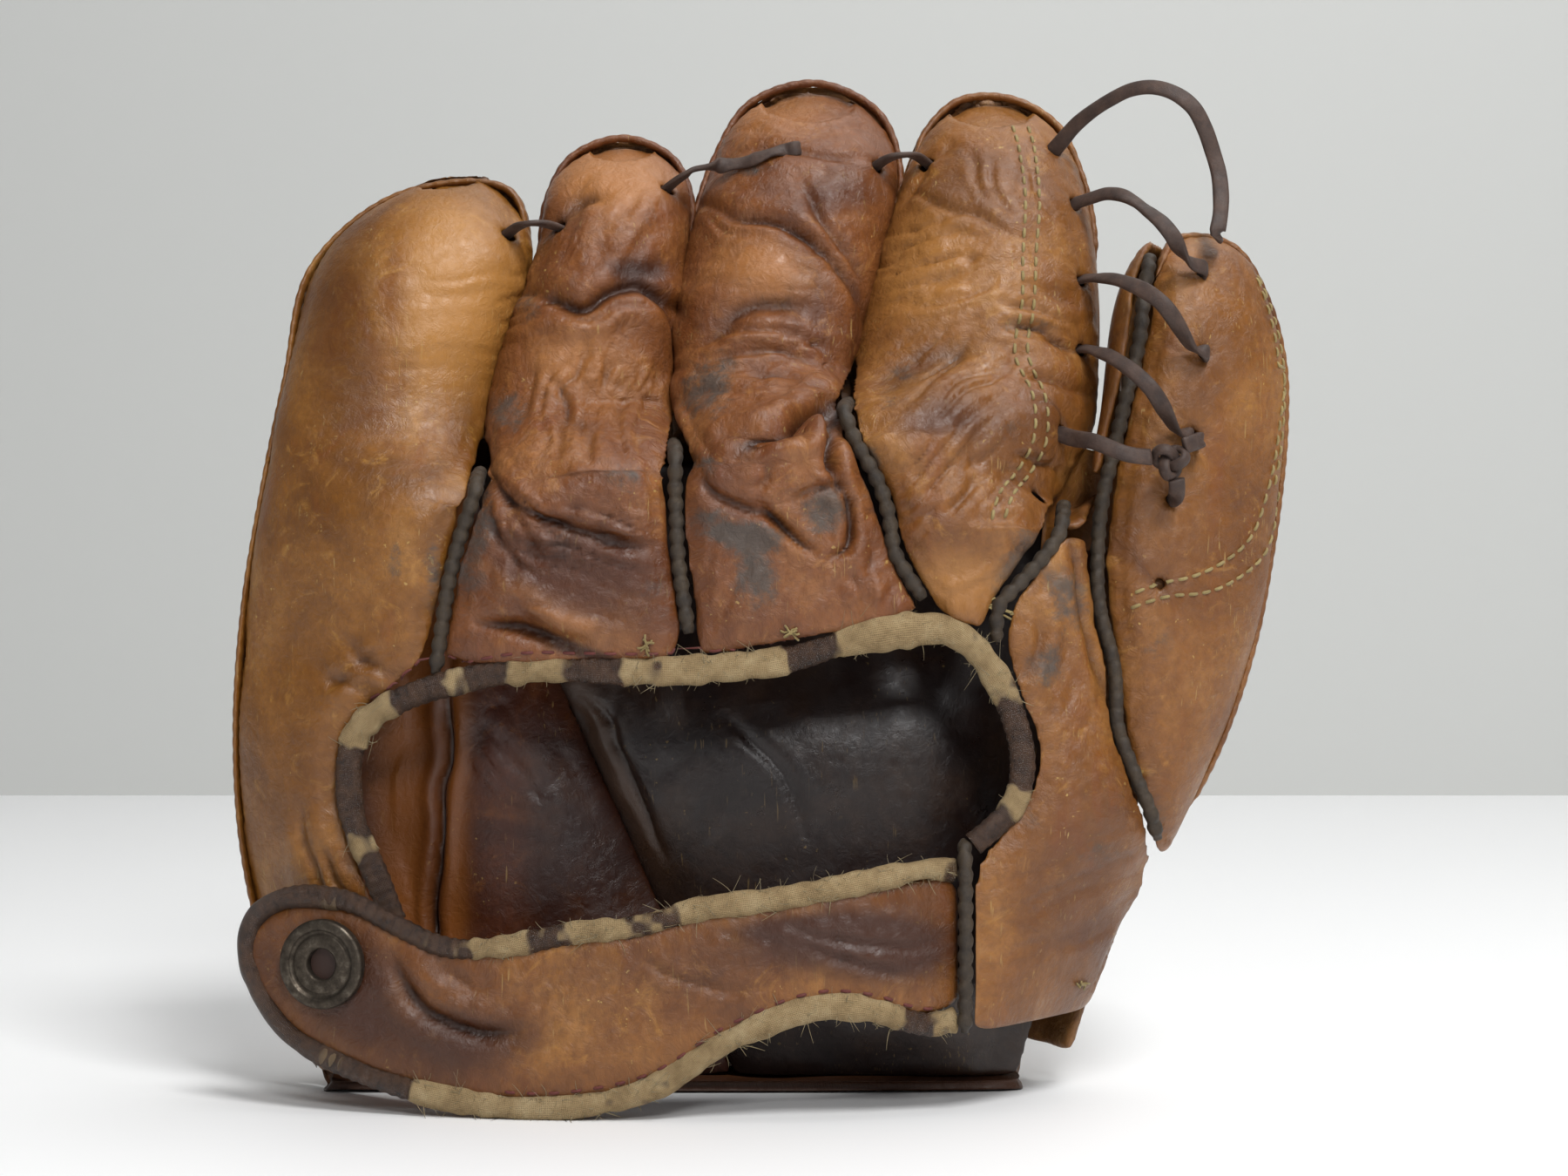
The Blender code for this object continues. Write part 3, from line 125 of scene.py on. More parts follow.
def smooth_line(points, count):
    """Evenly spaced points on a smooth curve through the given ones, in any number of dimensions."""
    p = np.asarray(points, float)
    p = np.vstack([2 * p[0] - p[1], p, 2 * p[-1] - p[-2]])
    fine = []
    for i in range(1, len(p) - 2):
        for t in np.linspace(0, 1, 10, endpoint=False):
            fine.append(0.5 * (2 * p[i] + (p[i + 1] - p[i - 1]) * t
                               + (2 * p[i - 1] - 5 * p[i] + 4 * p[i + 1] - p[i + 2]) * t * t
                               + (3 * p[i] - p[i - 1] - 3 * p[i + 1] + p[i + 2]) * t ** 3))
    fine.append(p[-2])
    fine = np.array(fine)
    run = np.concatenate([[0], np.cumsum(np.linalg.norm(np.diff(fine, axis=0), axis=1))])
    want = np.linspace(0, run[-1], count)
    return np.column_stack([np.interp(want, run, fine[:, k]) for k in range(p.shape[1])])


def line_length(points):
    return float(np.linalg.norm(np.diff(np.asarray(points), axis=0), axis=1).sum())


def seen_on_sheet(p, sheet_y):
    """Where points fall on a flat upright sheet at sheet_y, seen from the camera."""
    cam = np.array(CAMERA_AT)
    k = (sheet_y - cam[1]) / (p[:, 1] - cam[1])
    return np.column_stack([cam[0] + (p[:, 0] - cam[0]) * k, cam[2] + (p[:, 2] - cam[2]) * k])


# ---------------------------------------------------------------- shader building blocks

class Shader:
    """A node material written as nested calls."""

    def __init__(self, name):
        self.mat = bpy.data.materials.new(name)
        self.mat.use_nodes = True
        self.tree = self.mat.node_tree
        self.bsdf = self.tree.nodes["Principled BSDF"]

    def put(self, socket, value):
        if isinstance(value, bpy.types.NodeSocket):
            self.tree.links.new(value, socket)
        elif value is not None:
            socket.default_value = value

    def node(self, kind, out=0, props=(), **inputs):
        n = self.tree.nodes.new(kind)
        for k, v in dict(props).items():
            setattr(n, k, v)
        for k, v in inputs.items():
            key = k.replace("_", " ")
            self.put(n.inputs[int(k[1:])] if k[0] == "i" and k[1:].isdigit() else n.inputs[key], v)
        return n.outputs[out]

    def attribute(self, name, out="Vector"):
        n = self.tree.nodes.new("ShaderNodeAttribute")
        n.attribute_name = name
        return n.outputs[out]

    def rest(self):
        """Place on the glove at rest, in millimetres, so that patterns never slide in a pose."""
        if not hasattr(self, "_rest"):
            self._rest = self.attribute("rest")
        return self._rest

    def mapped(self, scale, turn=(0, 0, 0)):
        return self.node("ShaderNodeMapping", Vector=self.rest(), Scale=scale, Rotation=turn)

    def noise(self, scale, detail=4.0, rough=0.55, vector=None, distort=0.0, out=0):
        return self.node("ShaderNodeTexNoise", out, Vector=vector or self.rest(), Scale=scale,
                         Detail=detail, Roughness=rough, Distortion=distort)

    def cells(self, scale, vector):
        return self.node("ShaderNodeTexVoronoi", 0, {"feature": "SMOOTH_F1"}, Vector=vector, Scale=scale)

    def math(self, op, a, b=0.0, clamp=False):
        return self.node("ShaderNodeMath", 0, {"operation": op, "use_clamp": clamp}, i0=a, i1=b)

    def remap(self, value, low, high, to_low=0.0, to_high=1.0):
        return self.node("ShaderNodeMapRange", 0, {"clamp": True, "interpolation_type": "SMOOTHSTEP"},
                         i0=value, i1=low, i2=high, i3=to_low, i4=to_high)

    def mix(self, factor, a, b, blend="MIX"):
        n = self.tree.nodes.new("ShaderNodeMix")
        n.data_type, n.blend_type = "RGBA", blend
        self.put(n.inputs[0], factor)
        for socket, value in ((n.inputs[6], a), (n.inputs[7], b)):
            self.put(socket, (*value, 1) if isinstance(value, tuple) else value)
        return n.outputs[2]

    def ramp(self, value, *stops):
        n = self.tree.nodes.new("ShaderNodeValToRGB")
        ramp = n.color_ramp
        while len(ramp.elements) < len(stops):
            ramp.elements.new(0.5)
        for e, (at, colour) in zip(ramp.elements, stops):
            e.position, e.color = at, (*colour, 1)
        self.put(n.inputs[0], value)
        return n.outputs[0]

    def bump(self, height, depth_mm, strength=1.0, below=None):
        n = self.tree.nodes.new("ShaderNodeBump")
        n.inputs["Strength"].default_value = strength
        n.inputs["Distance"].default_value = depth_mm * MM
        self.put(n.inputs["Height"], height)
        if below is not None:
            self.tree.links.new(below, n.inputs["Normal"])
        return n.outputs[0]

    def finish(self, colour, rough, normal=None, **fixed):
        self.put(self.bsdf.inputs["Base Color"], (*colour, 1) if isinstance(colour, tuple) else colour)
        self.put(self.bsdf.inputs["Roughness"], rough)
        if normal is not None:
            self.put(self.bsdf.inputs["Normal"], normal)
        for k, v in fixed.items():
            self.bsdf.inputs[k.replace("_", " ")].default_value = v
        return self.mat


def scaled(colour, *shares):
    return tuple(c * k for c, k in zip(colour, shares))


def leather(name, dark, mid, light, rough, grain=1.0, wear=1.0, scuff=(0.060, 0.052, 0.044)):
    """Oiled, handled cowhide: mottled dye, grain, rubbed patches, scuffs, scratches; painted shade in the
    creases, painted highlights with rubbed wear on their lips and on raised ridges, and tone patches of dye
    with painted light.
    """
    s = Shader(name)
    broad = s.noise(0.035, 5, 0.6, distort=0.6)
    colour = s.ramp(broad, (0.28, dark), (0.5, mid), (0.72, light))
    fine = s.noise(0.5, 5, 0.7)
    colour = s.mix(s.remap(fine, 0.25, 0.75, 0.5, 0.0), colour, dark)
    streak = s.noise(1.0, 5, 0.65, s.mapped((0.09, 0.09, 0.02)), 0.8)
    colour = s.mix(s.remap(streak, 0.52, 0.72, 0.0, 0.45), colour, scaled(mid, 0.72, 0.5, 0.45))
    rubbed = s.math("MULTIPLY", s.remap(s.noise(0.09, 6, 0.75, distort=1.5), 0.55, 0.72), 0.5 * wear)
    colour = s.mix(rubbed, colour, scaled(light, 1.15, 1.25, 1.1))
    scratch = 0.0
    for turn, seed in ((0.5, 1.0), (-0.7, 1.3), (1.4, 0.8)):
        line = s.noise(1.0, 1.5, 0.4, s.mapped((1.5 * seed, 1.5, 0.10), (0, turn, 0)))
        scratch = s.math("ADD", scratch, s.remap(line, 0.70, 0.74))
    scratch = s.math("MULTIPLY", scratch, s.remap(s.noise(0.07, 3, 0.6), 0.50, 0.64, 0.0, 0.55 * wear), True)
    colour = s.mix(scratch, colour, (0.40, 0.26, 0.09))
    fleck = s.math("MULTIPLY", s.remap(s.noise(0.75, 2, 0.5), 0.68, 0.74),
                   s.remap(s.noise(0.05, 2), 0.5, 0.62))
    colour = s.mix(s.math("MULTIPLY", fleck, 0.7 * wear), colour, (0.45, 0.29, 0.09))
    scuffed = s.math("ADD", s.attribute("scuff", "Fac"),
                     s.math("MULTIPLY", s.math("SUBTRACT", s.noise(0.20, 8, 0.8), 0.5), 2.4))
    scuffed = s.remap(scuffed, 0.30, 1.0)
    colour = s.mix(s.math("MULTIPLY", scuffed, 0.85), colour, scuff)
    # Tone: pale and dark patches of the dye together with painted highlights and painted shade; positive
    # lightens, negative darkens.
    tone = s.attribute("tone", "Fac")
    colour = s.mix(s.remap(tone, 0.0, 1.0), colour, scaled(light, 1.12, 1.12, 1.1))
    colour = s.mix(s.remap(tone, 0.0, -1.0), colour, scaled(dark, 0.62, 0.5, 0.4))
    # Crease: painted shade darkens grooves, seams and lace holes (positive); painted highlight with rubbed
    # wear lightens lips and raised ridges (negative).
    crease = s.attribute("crease", "Fac")
    colour = s.mix(s.remap(crease, 0.05, 0.9, 0.0, 0.86), colour, scaled(dark, 0.3, 0.25, 0.25))
    colour = s.mix(s.remap(crease, -0.05, -0.8, 0.0, 0.5), colour, scaled(light, 1.2, 1.2, 1.2))
    shaken = s.node("ShaderNodeVectorMath", 0, {"operation": "ADD"}, i0=s.rest(),
                    i1=s.noise(0.4, 3, 0.6, out=1))
    cells = s.cells(0.85, shaken)
    pores = s.noise(3.2, 3, 0.6)
    hide = s.noise(0.32, 6, 0.7, distort=0.8)
    normal = s.bump(hide, 0.55 * grain, 0.9)
    normal = s.bump(cells, 0.16 * grain, 0.6, normal)
    normal = s.bump(pores, 0.07 * grain, 0.6, normal)
    normal = s.bump(scratch, -0.1, 0.6, normal)
    roughness = s.remap(s.noise(0.11, 5, 0.7), 0.3, 0.7, rough - 0.08, rough + 0.14)
    roughness = s.math("ADD", roughness, s.math("MULTIPLY", scuffed, 0.10), True)
    return s.finish(colour, roughness, normal, Specular_IOR_Level=0.5)


def suede(name, dark, light, rough, depth, scale, sheen=0.12):
    """Rough flesh side, felt and rawhide: short nap, no shine."""
    s = Shader(name)
    colour = s.ramp(s.noise(0.25, 5, 0.65), (0.3, dark), (0.7, light))
    shade = s.remap(s.noise(scale * 2, 4, 0.7), 0.35, 0.75, 0.35, 0.0)
    colour = s.mix(shade, colour, scaled(dark, 0.5, 0.5, 0.5))
    normal = s.bump(s.noise(scale, 6, 0.75), depth, 0.8)
    normal = s.bump(s.noise(scale * 3.3, 3, 0.7), depth * 0.4, 0.7, normal)
    return s.finish(colour, s.remap(s.noise(0.3, 3), 0.3, 0.7, rough - 0.08, rough + 0.08), normal,
                    Sheen_Weight=sheen, Sheen_Roughness=0.5)


def binding_cloth(name):
    """Worn tan tape over dark glossy leather; the `worn` attribute says which shows."""
    s = Shader(name)
    along = s.attribute("weave")
    warp, weft = (s.node("ShaderNodeTexWave", 0, {"bands_direction": way}, Vector=along, Scale=0.9,
                         Distortion=1.2, Detail=2.0) for way in "XY")
    weave = s.math("MAXIMUM", warp, weft)
    cloth = s.ramp(s.noise(0.16, 5, 0.7), (0.25, (0.19, 0.12, 0.050)), (0.5, (0.36, 0.25, 0.12)),
                   (0.75, (0.50, 0.38, 0.21)))
    cloth = s.mix(s.remap(weave, 0.2, 0.8, 0.35, 0.0), cloth, (0.09, 0.06, 0.028))
    hide = s.ramp(s.noise(0.3, 5, 0.7), (0.3, (0.020, 0.009, 0.005)), (0.7, (0.085, 0.042, 0.022)))
    worn = s.remap(s.attribute("worn", "Fac"), 0.35, 0.6)
    colour = s.mix(worn, cloth, hide)
    normal = s.bump(weave, 0.28, 0.8)
    normal = s.bump(s.noise(1.2, 5, 0.7), 0.35, 0.8, normal)
    return s.finish(colour, s.remap(worn, 0.0, 1.0, 0.88, 0.22), normal)


def metal(name):
    s = Shader(name)
    tarnish = s.noise(0.45, 6, 0.7)
    colour = s.ramp(tarnish, (0.3, (0.028, 0.022, 0.017)), (0.55, (0.075, 0.060, 0.045)),
                    (0.8, (0.19, 0.165, 0.13)))
    normal = s.bump(s.noise(1.4, 5, 0.7), 0.10, 0.6)
    return s.finish(colour, s.remap(tarnish, 0.3, 0.75, 0.62, 0.34), normal, Metallic=0.85)


def plain(name, colour, rough):
    s = Shader(name)
    shade = s.node("ShaderNodeTexNoise", 0, Scale=2.0, Detail=3.0)
    lighter = tuple(min(1.0, c * 1.03) for c in colour)
    return s.finish(s.ramp(shade, (0.3, colour), (0.7, lighter)), rough)


# Dark, middle and light dye, roughness, then grain, wear and scuff colour where they aren't the usual ones.
LEATHERS = {
    "saddle_leather": ((0.105, 0.034, 0.007), (0.225, 0.084, 0.015), (0.35, 0.155, 0.038), 0.36),
    "russet_leather": ((0.085, 0.024, 0.007), (0.20, 0.066, 0.016), (0.33, 0.135, 0.040), 0.34, 1.25),
    "faded_leather": ((0.11, 0.038, 0.006), (0.235, 0.090, 0.012), (0.37, 0.17, 0.040), 0.36, 0.8),
    "palm_leather": ((0.085, 0.032, 0.009), (0.19, 0.078, 0.020), (0.31, 0.145, 0.045), 0.44),
    "strap_leather": ((0.075, 0.024, 0.007), (0.18, 0.062, 0.012), (0.34, 0.145, 0.032), 0.36),
    # lining_red: its own red dye, kept darker still as painted shade for the inside of the glove
    "lining_red": ((0.026, 0.007, 0.004), (0.085, 0.022, 0.007), (0.24, 0.078, 0.016), 0.34,
                   0.5, 0.7, (0.035, 0.020, 0.014)),
    "lining_dark": ((0.008, 0.004, 0.004), (0.018, 0.009, 0.007), (0.05, 0.025, 0.014), 0.34,
                    0.35, 0.35, (0.03, 0.024, 0.02)),
}
# Dark and light colour, roughness, depth and scale of the nap, sheen.
NAPPED = {
    "welt_leather": ((0.016, 0.009, 0.004), (0.060, 0.037, 0.016), 0.55, 0.3, 1.1, 0.03),
    "rawhide_lace": ((0.026, 0.012, 0.008), (0.080, 0.042, 0.027), 0.60, 0.18, 1.2, 0.04),
    "felt_pad": ((0.36, 0.33, 0.27), (0.55, 0.51, 0.43), 0.95, 0.6, 0.9),
    "waxed_thread": ((0.20, 0.14, 0.045), (0.38, 0.29, 0.11), 0.7, 0.1, 3.0),
    "red_thread": ((0.09, 0.014, 0.010), (0.16, 0.03, 0.02), 0.7, 0.1, 3.0),
    "cotton_fray": ((0.20, 0.15, 0.075), (0.36, 0.29, 0.16), 0.9, 0.1, 3.0),
    "snap_rust": ((0.02, 0.008, 0.005), (0.075, 0.03, 0.018), 0.6, 0.15, 1.4),
}
MAT = {name: leather(name, *look) for name, look in LEATHERS.items()}
MAT.update({name: suede(name, *look) for name, look in NAPPED.items()})
MAT.update(binding_leather=binding_cloth("binding_leather"), snap_metal=metal("snap_metal"))


# ---------------------------------------------------------------- mesh building blocks

def coords(me):
    co = np.empty(len(me.vertices) * 3)
    me.vertices.foreach_get("co", co)
    return co.reshape(-1, 3)


def normals(me):
    no = np.empty(len(me.vertices) * 3)
    me.vertices.foreach_get("normal", no)
    return no.reshape(-1, 3)


def set_coords(me, co):
    me.vertices.foreach_set("co", np.asarray(co, np.float32).ravel())
    me.update()


def put_attribute(me, name, values):
    """A per-point value the shaders read: a number, or a vector for three columns."""
    values = np.asarray(values, np.float32)
    kind = "FLOAT" if values.ndim == 1 else "FLOAT_VECTOR"
    a = me.attributes.get(name) or me.attributes.new(name, kind, "POINT")
    a.data.foreach_set("value" if kind == "FLOAT" else "vector", values.ravel())


def dress(o, mat):
    """Material, smooth shading and rest coordinates."""
    me = o.data
    me.materials.clear()
    me.materials.append(MAT[mat])
    me.polygons.foreach_set("use_smooth", np.ones(len(me.polygons), bool))
    if "rest" not in me.attributes:
        put_attribute(me, "rest", coords(me) / MM)
    for name in ("crease", "scuff", "tone"):
        if name not in me.attributes:
            put_attribute(me, name, np.zeros(len(me.vertices)))
    return o


def new_object(name, me):
    o = bpy.data.objects.new(name, me)
    bpy.context.scene.collection.objects.link(o)
    return o


def mesh_from(name, verts, faces):
    """verts in millimetres, kept off the table."""
    verts = np.array(verts)
    verts[:, 2] = np.maximum(verts[:, 2], TABLE_GAP)
    me = bpy.data.meshes.new(name)
    me.from_pydata((verts * MM).tolist(), [], faces)
    me.update()
    return new_object(name, me)


def closed_mesh(name, verts, faces):
    """A mesh from closed skins, with every face turned outwards."""
    o = mesh_from(name, verts, faces)
    bm = bmesh.new()
    bm.from_mesh(o.data)
    bmesh.ops.recalc_face_normals(bm, faces=bm.faces)
    bm.to_mesh(o.data)
    bm.free()
    return o


def welded(me, gap=WELD):
    """A bmesh of a CAD mesh, with points that coincide made one."""
    bm = bmesh.new()
    bm.from_mesh(me)
    bmesh.ops.remove_doubles(bm, verts=bm.verts, dist=gap)
    return bm


def applied(o):
    """Bake every modifier of o into its mesh."""
    bpy.context.view_layer.update()
    graph = bpy.context.evaluated_depsgraph_get()
    me = bpy.data.meshes.new_from_object(o.evaluated_get(graph), depsgraph=graph)
    old = o.data
    o.modifiers.clear()
    o.data = me
    bpy.data.meshes.remove(old)
    return o


def refined(node, name, voxel=0.9, level=2, smooth=3):
    """The CAD node's solid as a fine, even, slightly rounded mesh. Without a voxel size it is only
    subdivided, which keeps the thinnest walls whole."""
    me = NODES[node].data.copy()
    bm = welded(me)
    bmesh.ops.join_triangles(bm, faces=bm.faces, angle_face_threshold=0.5, angle_shape_threshold=1.2,
                             cmp_seam=False, cmp_sharp=False, cmp_uvs=False, cmp_materials=False)
    crease = bm.edges.layers.float.get("crease_edge") or bm.edges.layers.float.new("crease_edge")
    for e in bm.edges:
        if len(e.link_faces) == 2 and e.calc_face_angle(0) > SHARP:
            e[crease] = 0.9
    bm.to_mesh(me)
    bm.free()
    o = new_object(name, me)
    if level:
        s = o.modifiers.new("s", "SUBSURF")
        s.levels = s.render_levels = level
    if voxel:
        r = o.modifiers.new("r", "REMESH")
        r.mode, r.voxel_size = "VOXEL", voxel * MM
    m = o.modifiers.new("m", "SMOOTH")
    m.factor, m.iterations = 0.5, smooth
    return applied(o)


def rim_distance(node, p):
    """Distance in mm from points p to the nearest cut edge of a CAD panel, and the way there."""
    bm = welded(NODES[node].data)
    marks = []
    for e in bm.edges:
        if len(e.link_faces) == 2 and e.calc_face_angle(0) > SHARP:
            a, b = (np.array(v.co) / MM for v in e.verts)
            n = max(1, int(np.linalg.norm(b - a)))
            marks += [a + (b - a) * k / n for k in range(n + 1)]
    bm.free()
    tree = kdtree.KDTree(len(marks))
    for k, q in enumerate(marks):
        tree.insert(q, k)
    tree.balance()
    found = [tree.find(q) for q in p]
    way = np.array([f[0] for f in found]) - p
    distance = np.array([f[2] for f in found])
    return distance, way / np.maximum(distance, 1e-6)[:, None]


def edge_ends(me):
    edges = np.empty(len(me.edges) * 2, np.int64)
    me.edges.foreach_get("vertices", edges)
    return edges.reshape(-1, 2).T


def neighbour_sums(values, a, b):
    """Each column summed over every point's neighbours; a and b are the edges' ends."""
    count, columns = values.shape
    return np.column_stack([np.bincount(a, values[b, k], count) + np.bincount(b, values[a, k], count)
                            for k in range(columns)])


def relaxed(me, co, share, rounds=10):
    """Points eased towards the middle of their neighbours, each by its own share."""
    a, b = edge_ends(me)
    n = len(co)
    valence = np.maximum(1, np.bincount(a, minlength=n) + np.bincount(b, minlength=n))
    for _ in range(rounds):
        co = co + (neighbour_sums(co, a, b) / valence[:, None] - co) * share[:, None]
    return co


def spread(me, vectors, known, rounds=6):
    """Carry vectors from the points where they are known to their neighbours, at unit length."""
    a, b = edge_ends(me)
    weight = known.astype(float)
    total = np.column_stack([vectors * weight[:, None], weight])
    for _ in range(rounds):
        total = total + 0.5 * neighbour_sums(total, a, b)
        total /= max(total[:, 3].max(), 1e-9)
    carried = total[:, :3] / np.maximum(total[:, 3:], 1e-12)
    out = np.where((known | (total[:, 3] < 1e-12))[:, None], vectors, carried)
    return out / np.maximum(np.linalg.norm(out, axis=1), 1e-6)[:, None]


def rings(node):
    """A CAD tube's or lace's sections, in order: a list of arrays of corner points in mm."""
    bm = welded(NODES[node].data, 0.00002)
    bm.verts.ensure_lookup_table()
    near = {v.index: {e.other_vert(v).index for e in v.link_edges} for v in bm.verts}

    def layers(start):
        seen, out, now = set(start), [], set(start)
        while now:
            out.append(sorted(now))
            now = {b for a in now for b in near[a]} - seen
            seen |= now
        return out

    tip = bm.verts[layers([0])[-1][0]]
    inner = layers([tip.index])
    inner = inner[min(4, len(inner) - 1)]
    aim = (tip.co - sum((bm.verts[k].co for k in inner), Vector()) / len(inner)).normalized()
    best = max(tip.link_faces, key=lambda f: f.normal.dot(aim))
    flat, grow = {best}, [best]
    while grow:
        f = grow.pop()
        for e in f.edges:
            for g in e.link_faces:
                if g not in flat and g.normal.dot(best.normal) > 0.97:
                    flat.add(g)
                    grow.append(g)
    start = {v.index for f in flat for v in f.verts}
    out = [np.array([bm.verts[k].co for k in layer]) / MM for layer in layers(start)]
    bm.free()
    return [r for r in out if len(r) >= 3]


def centreline(node, first=None):
    """Middle of each section; `first` is a direction the line should start from."""
    line = np.array([r.mean(0) for r in rings(node)])
    if first is not None and (line[0] - line[-1]) @ np.array(first) < 0:
        line = line[::-1]
    return line


def frames(points, up):
    """Unit tangents, widthwise and outward directions along a line; up is one or many directions."""
    p = np.asarray(points, float)
    t = np.gradient(p, axis=0)
    t /= np.linalg.norm(t, axis=1)[:, None]
    up = np.broadcast_to(np.asarray(up, float), p.shape)
    n = up - t * (up * t).sum(1)[:, None]
    n /= np.maximum(np.linalg.norm(n, axis=1), 1e-6)[:, None]
    return t, np.cross(t, n), n


def sweep(name, points, up, half_w, half_t, sides=12, square=2.6, closed=False, bumps=None):
    """A rounded strip or cord along points. half_w and half_t may vary along it; `bumps(angle)`
    gives an extra outward offset for each point of the line."""
    p = np.asarray(points, float)
    count = len(p)
    t, b, n = frames(p, up)
    half_w = np.broadcast_to(half_w, count)
    half_t = np.broadcast_to(half_t, count)
    angle = np.linspace(0, 2 * pi, sides, endpoint=False)
    ca, sa = np.cos(angle), np.sin(angle)
    norm = (np.abs(ca) ** square + np.abs(sa) ** square) ** (-1 / square)
    ring_w, ring_t = ca * norm, sa * norm
    verts = np.empty((count, sides, 3))
    for k in range(sides):
        grow = bumps(angle[k]) if bumps else 0.0
        wide, thick = (half_w + grow) * ring_w[k], (half_t + grow) * ring_t[k]
        verts[:, k] = p + b * wide[:, None] + n * thick[:, None]
    faces = []
    for j in range(count if closed else count - 1):
        a0, b0 = j * sides, ((j + 1) % count) * sides
        for k in range(sides):
            after = (k + 1) % sides
            faces.append((a0 + k, a0 + after, b0 + after, b0 + k))
    if not closed:
        faces.append(tuple(range(sides - 1, -1, -1)))
        faces.append(tuple((count - 1) * sides + k for k in range(sides)))
    return closed_mesh(name, verts.reshape(-1, 3), faces)


def joined(name, objects):
    """Several meshes as one object, their points kept apart."""
    bm = bmesh.new()
    for o in objects:
        bm.from_mesh(o.data)
    me = bpy.data.meshes.new(name)
    bm.to_mesh(me)
    bm.free()
    for o in objects:
        old = o.data
        bpy.data.objects.remove(o)
        bpy.data.meshes.remove(old)
    return new_object(name, me)


def surface_of(*objects):
    """A search tree over several meshes, for laying stitches on leather."""
    verts, faces = [], []
    for o in objects:
        k = len(verts)
        verts += [v.co.copy() for v in o.data.vertices]
        faces += [tuple(k + i for i in f.vertices) for f in o.data.polygons]
    return BVHTree.FromPolygons(verts, faces)


def laid_on(tree, points, lift):
    """Points moved straight back on to the leather, then lifted off it; with the leather's normals."""
    d, start = Vector((0, 1, 0)), 12.0
    out, up = [], []
    for q in points:
        origin = (Vector(q) - d * start) * MM
        hit, n, _, _ = tree.ray_cast(origin, d, 3 * start * MM)
        if hit is None:
            hit, n, _, _ = tree.find_nearest(Vector(q) * MM)
        if n.dot(d) > 0:
            n = -n
        out.append(np.array(hit) / MM + np.array(n) * lift)
        up.append(np.array(n))
    return np.array(out), np.array(up)


# ---------------------------------------------------------------- wear, painted highlights and painted shade, drawn one by one

# Creases as (depth, half width, points). Points are (X, Z) on the sheet named in the table's comment.
FINGER_CREASES = [   # on the finger sheet
    (3.6, 2.6, [(-54, 190), (-47, 188), (-42, 187), (-37, 190), (-31, 192), (-27, 190), (-23, 187),
                (-19, 186)]),
    (2.6, 5.0, [(-38, 196), (-31, 196), (-24, 197)]),
    (1.8, 1.8, [(-28, 190), (-24, 184), (-22, 178), (-21, 171)]),
    (1.0, 1.2, [(-46, 185), (-40, 184), (-35, 187), (-29, 187)]),
    (1.8, 3.0, [(-37, 213), (-43, 213), (-47, 209), (-51, 203)]),
    (1.3, 1.4, [(-27, 161), (-23, 164), (-19, 167)]),
    (1.0, 1.3, [(-50, 171), (-47, 165), (-48, 158)]),
    (2.3, 1.8, [(-14, 211), (-6, 208), (2, 207), (9, 204), (15, 198), (20, 190), (22, 183)]),
    (1.8, 1.8, [(8, 216), (13, 208), (18, 200), (23, 191)]),
    (1.0, 1.2, [(-13, 208), (-7, 205), (0, 204)]),
    (2.3, 3.4, [(-13, 181), (-8, 185), (-2, 188), (4, 188), (10, 186)]),
    (1.2, 1.5, [(-18, 176), (-10, 181), (-2, 182), (6, 181), (13, 177), (19, 172)]),
    (0.9, 1.3, [(-16, 172), (-6, 177), (4, 177), (12, 173), (18, 168)]),
    (0.9, 1.3, [(-4, 171), (4, 171), (11, 168), (17, 164)]),
    (0.8, 1.2, [(-19, 166), (-11, 168), (-2, 166)]),
    (6.0, 2.4, [(-7, 155), (-2, 156), (4, 158), (9, 161), (14, 163), (20, 165)]),
    (1.8, 5.0, [(24, 168), (32, 172), (42, 176), (50, 180)]),
    (1.6, 1.8, [(57, 183), (64, 181), (71, 177), (77, 173)]),
    (1.0, 1.4, [(56, 188), (64, 186), (72, 183)]),
    (0.9, 1.1, [(49, 224), (51, 217), (55, 210)]),
    (0.9, 1.1, [(53, 222), (55, 214), (58, 208)]),
    (1.0, 1.3, [(36, 214), (44, 210), (51, 208), (58, 203)]),
    (1.1, 1.4, [(62, 172), (70, 169), (77, 166)]),
    (1.0, 1.3, [(60, 165), (68, 163), (75, 158)]),
    (1.2, 1.5, [(-6, 224), (2, 224), (12, 223), (24, 222)]),
]
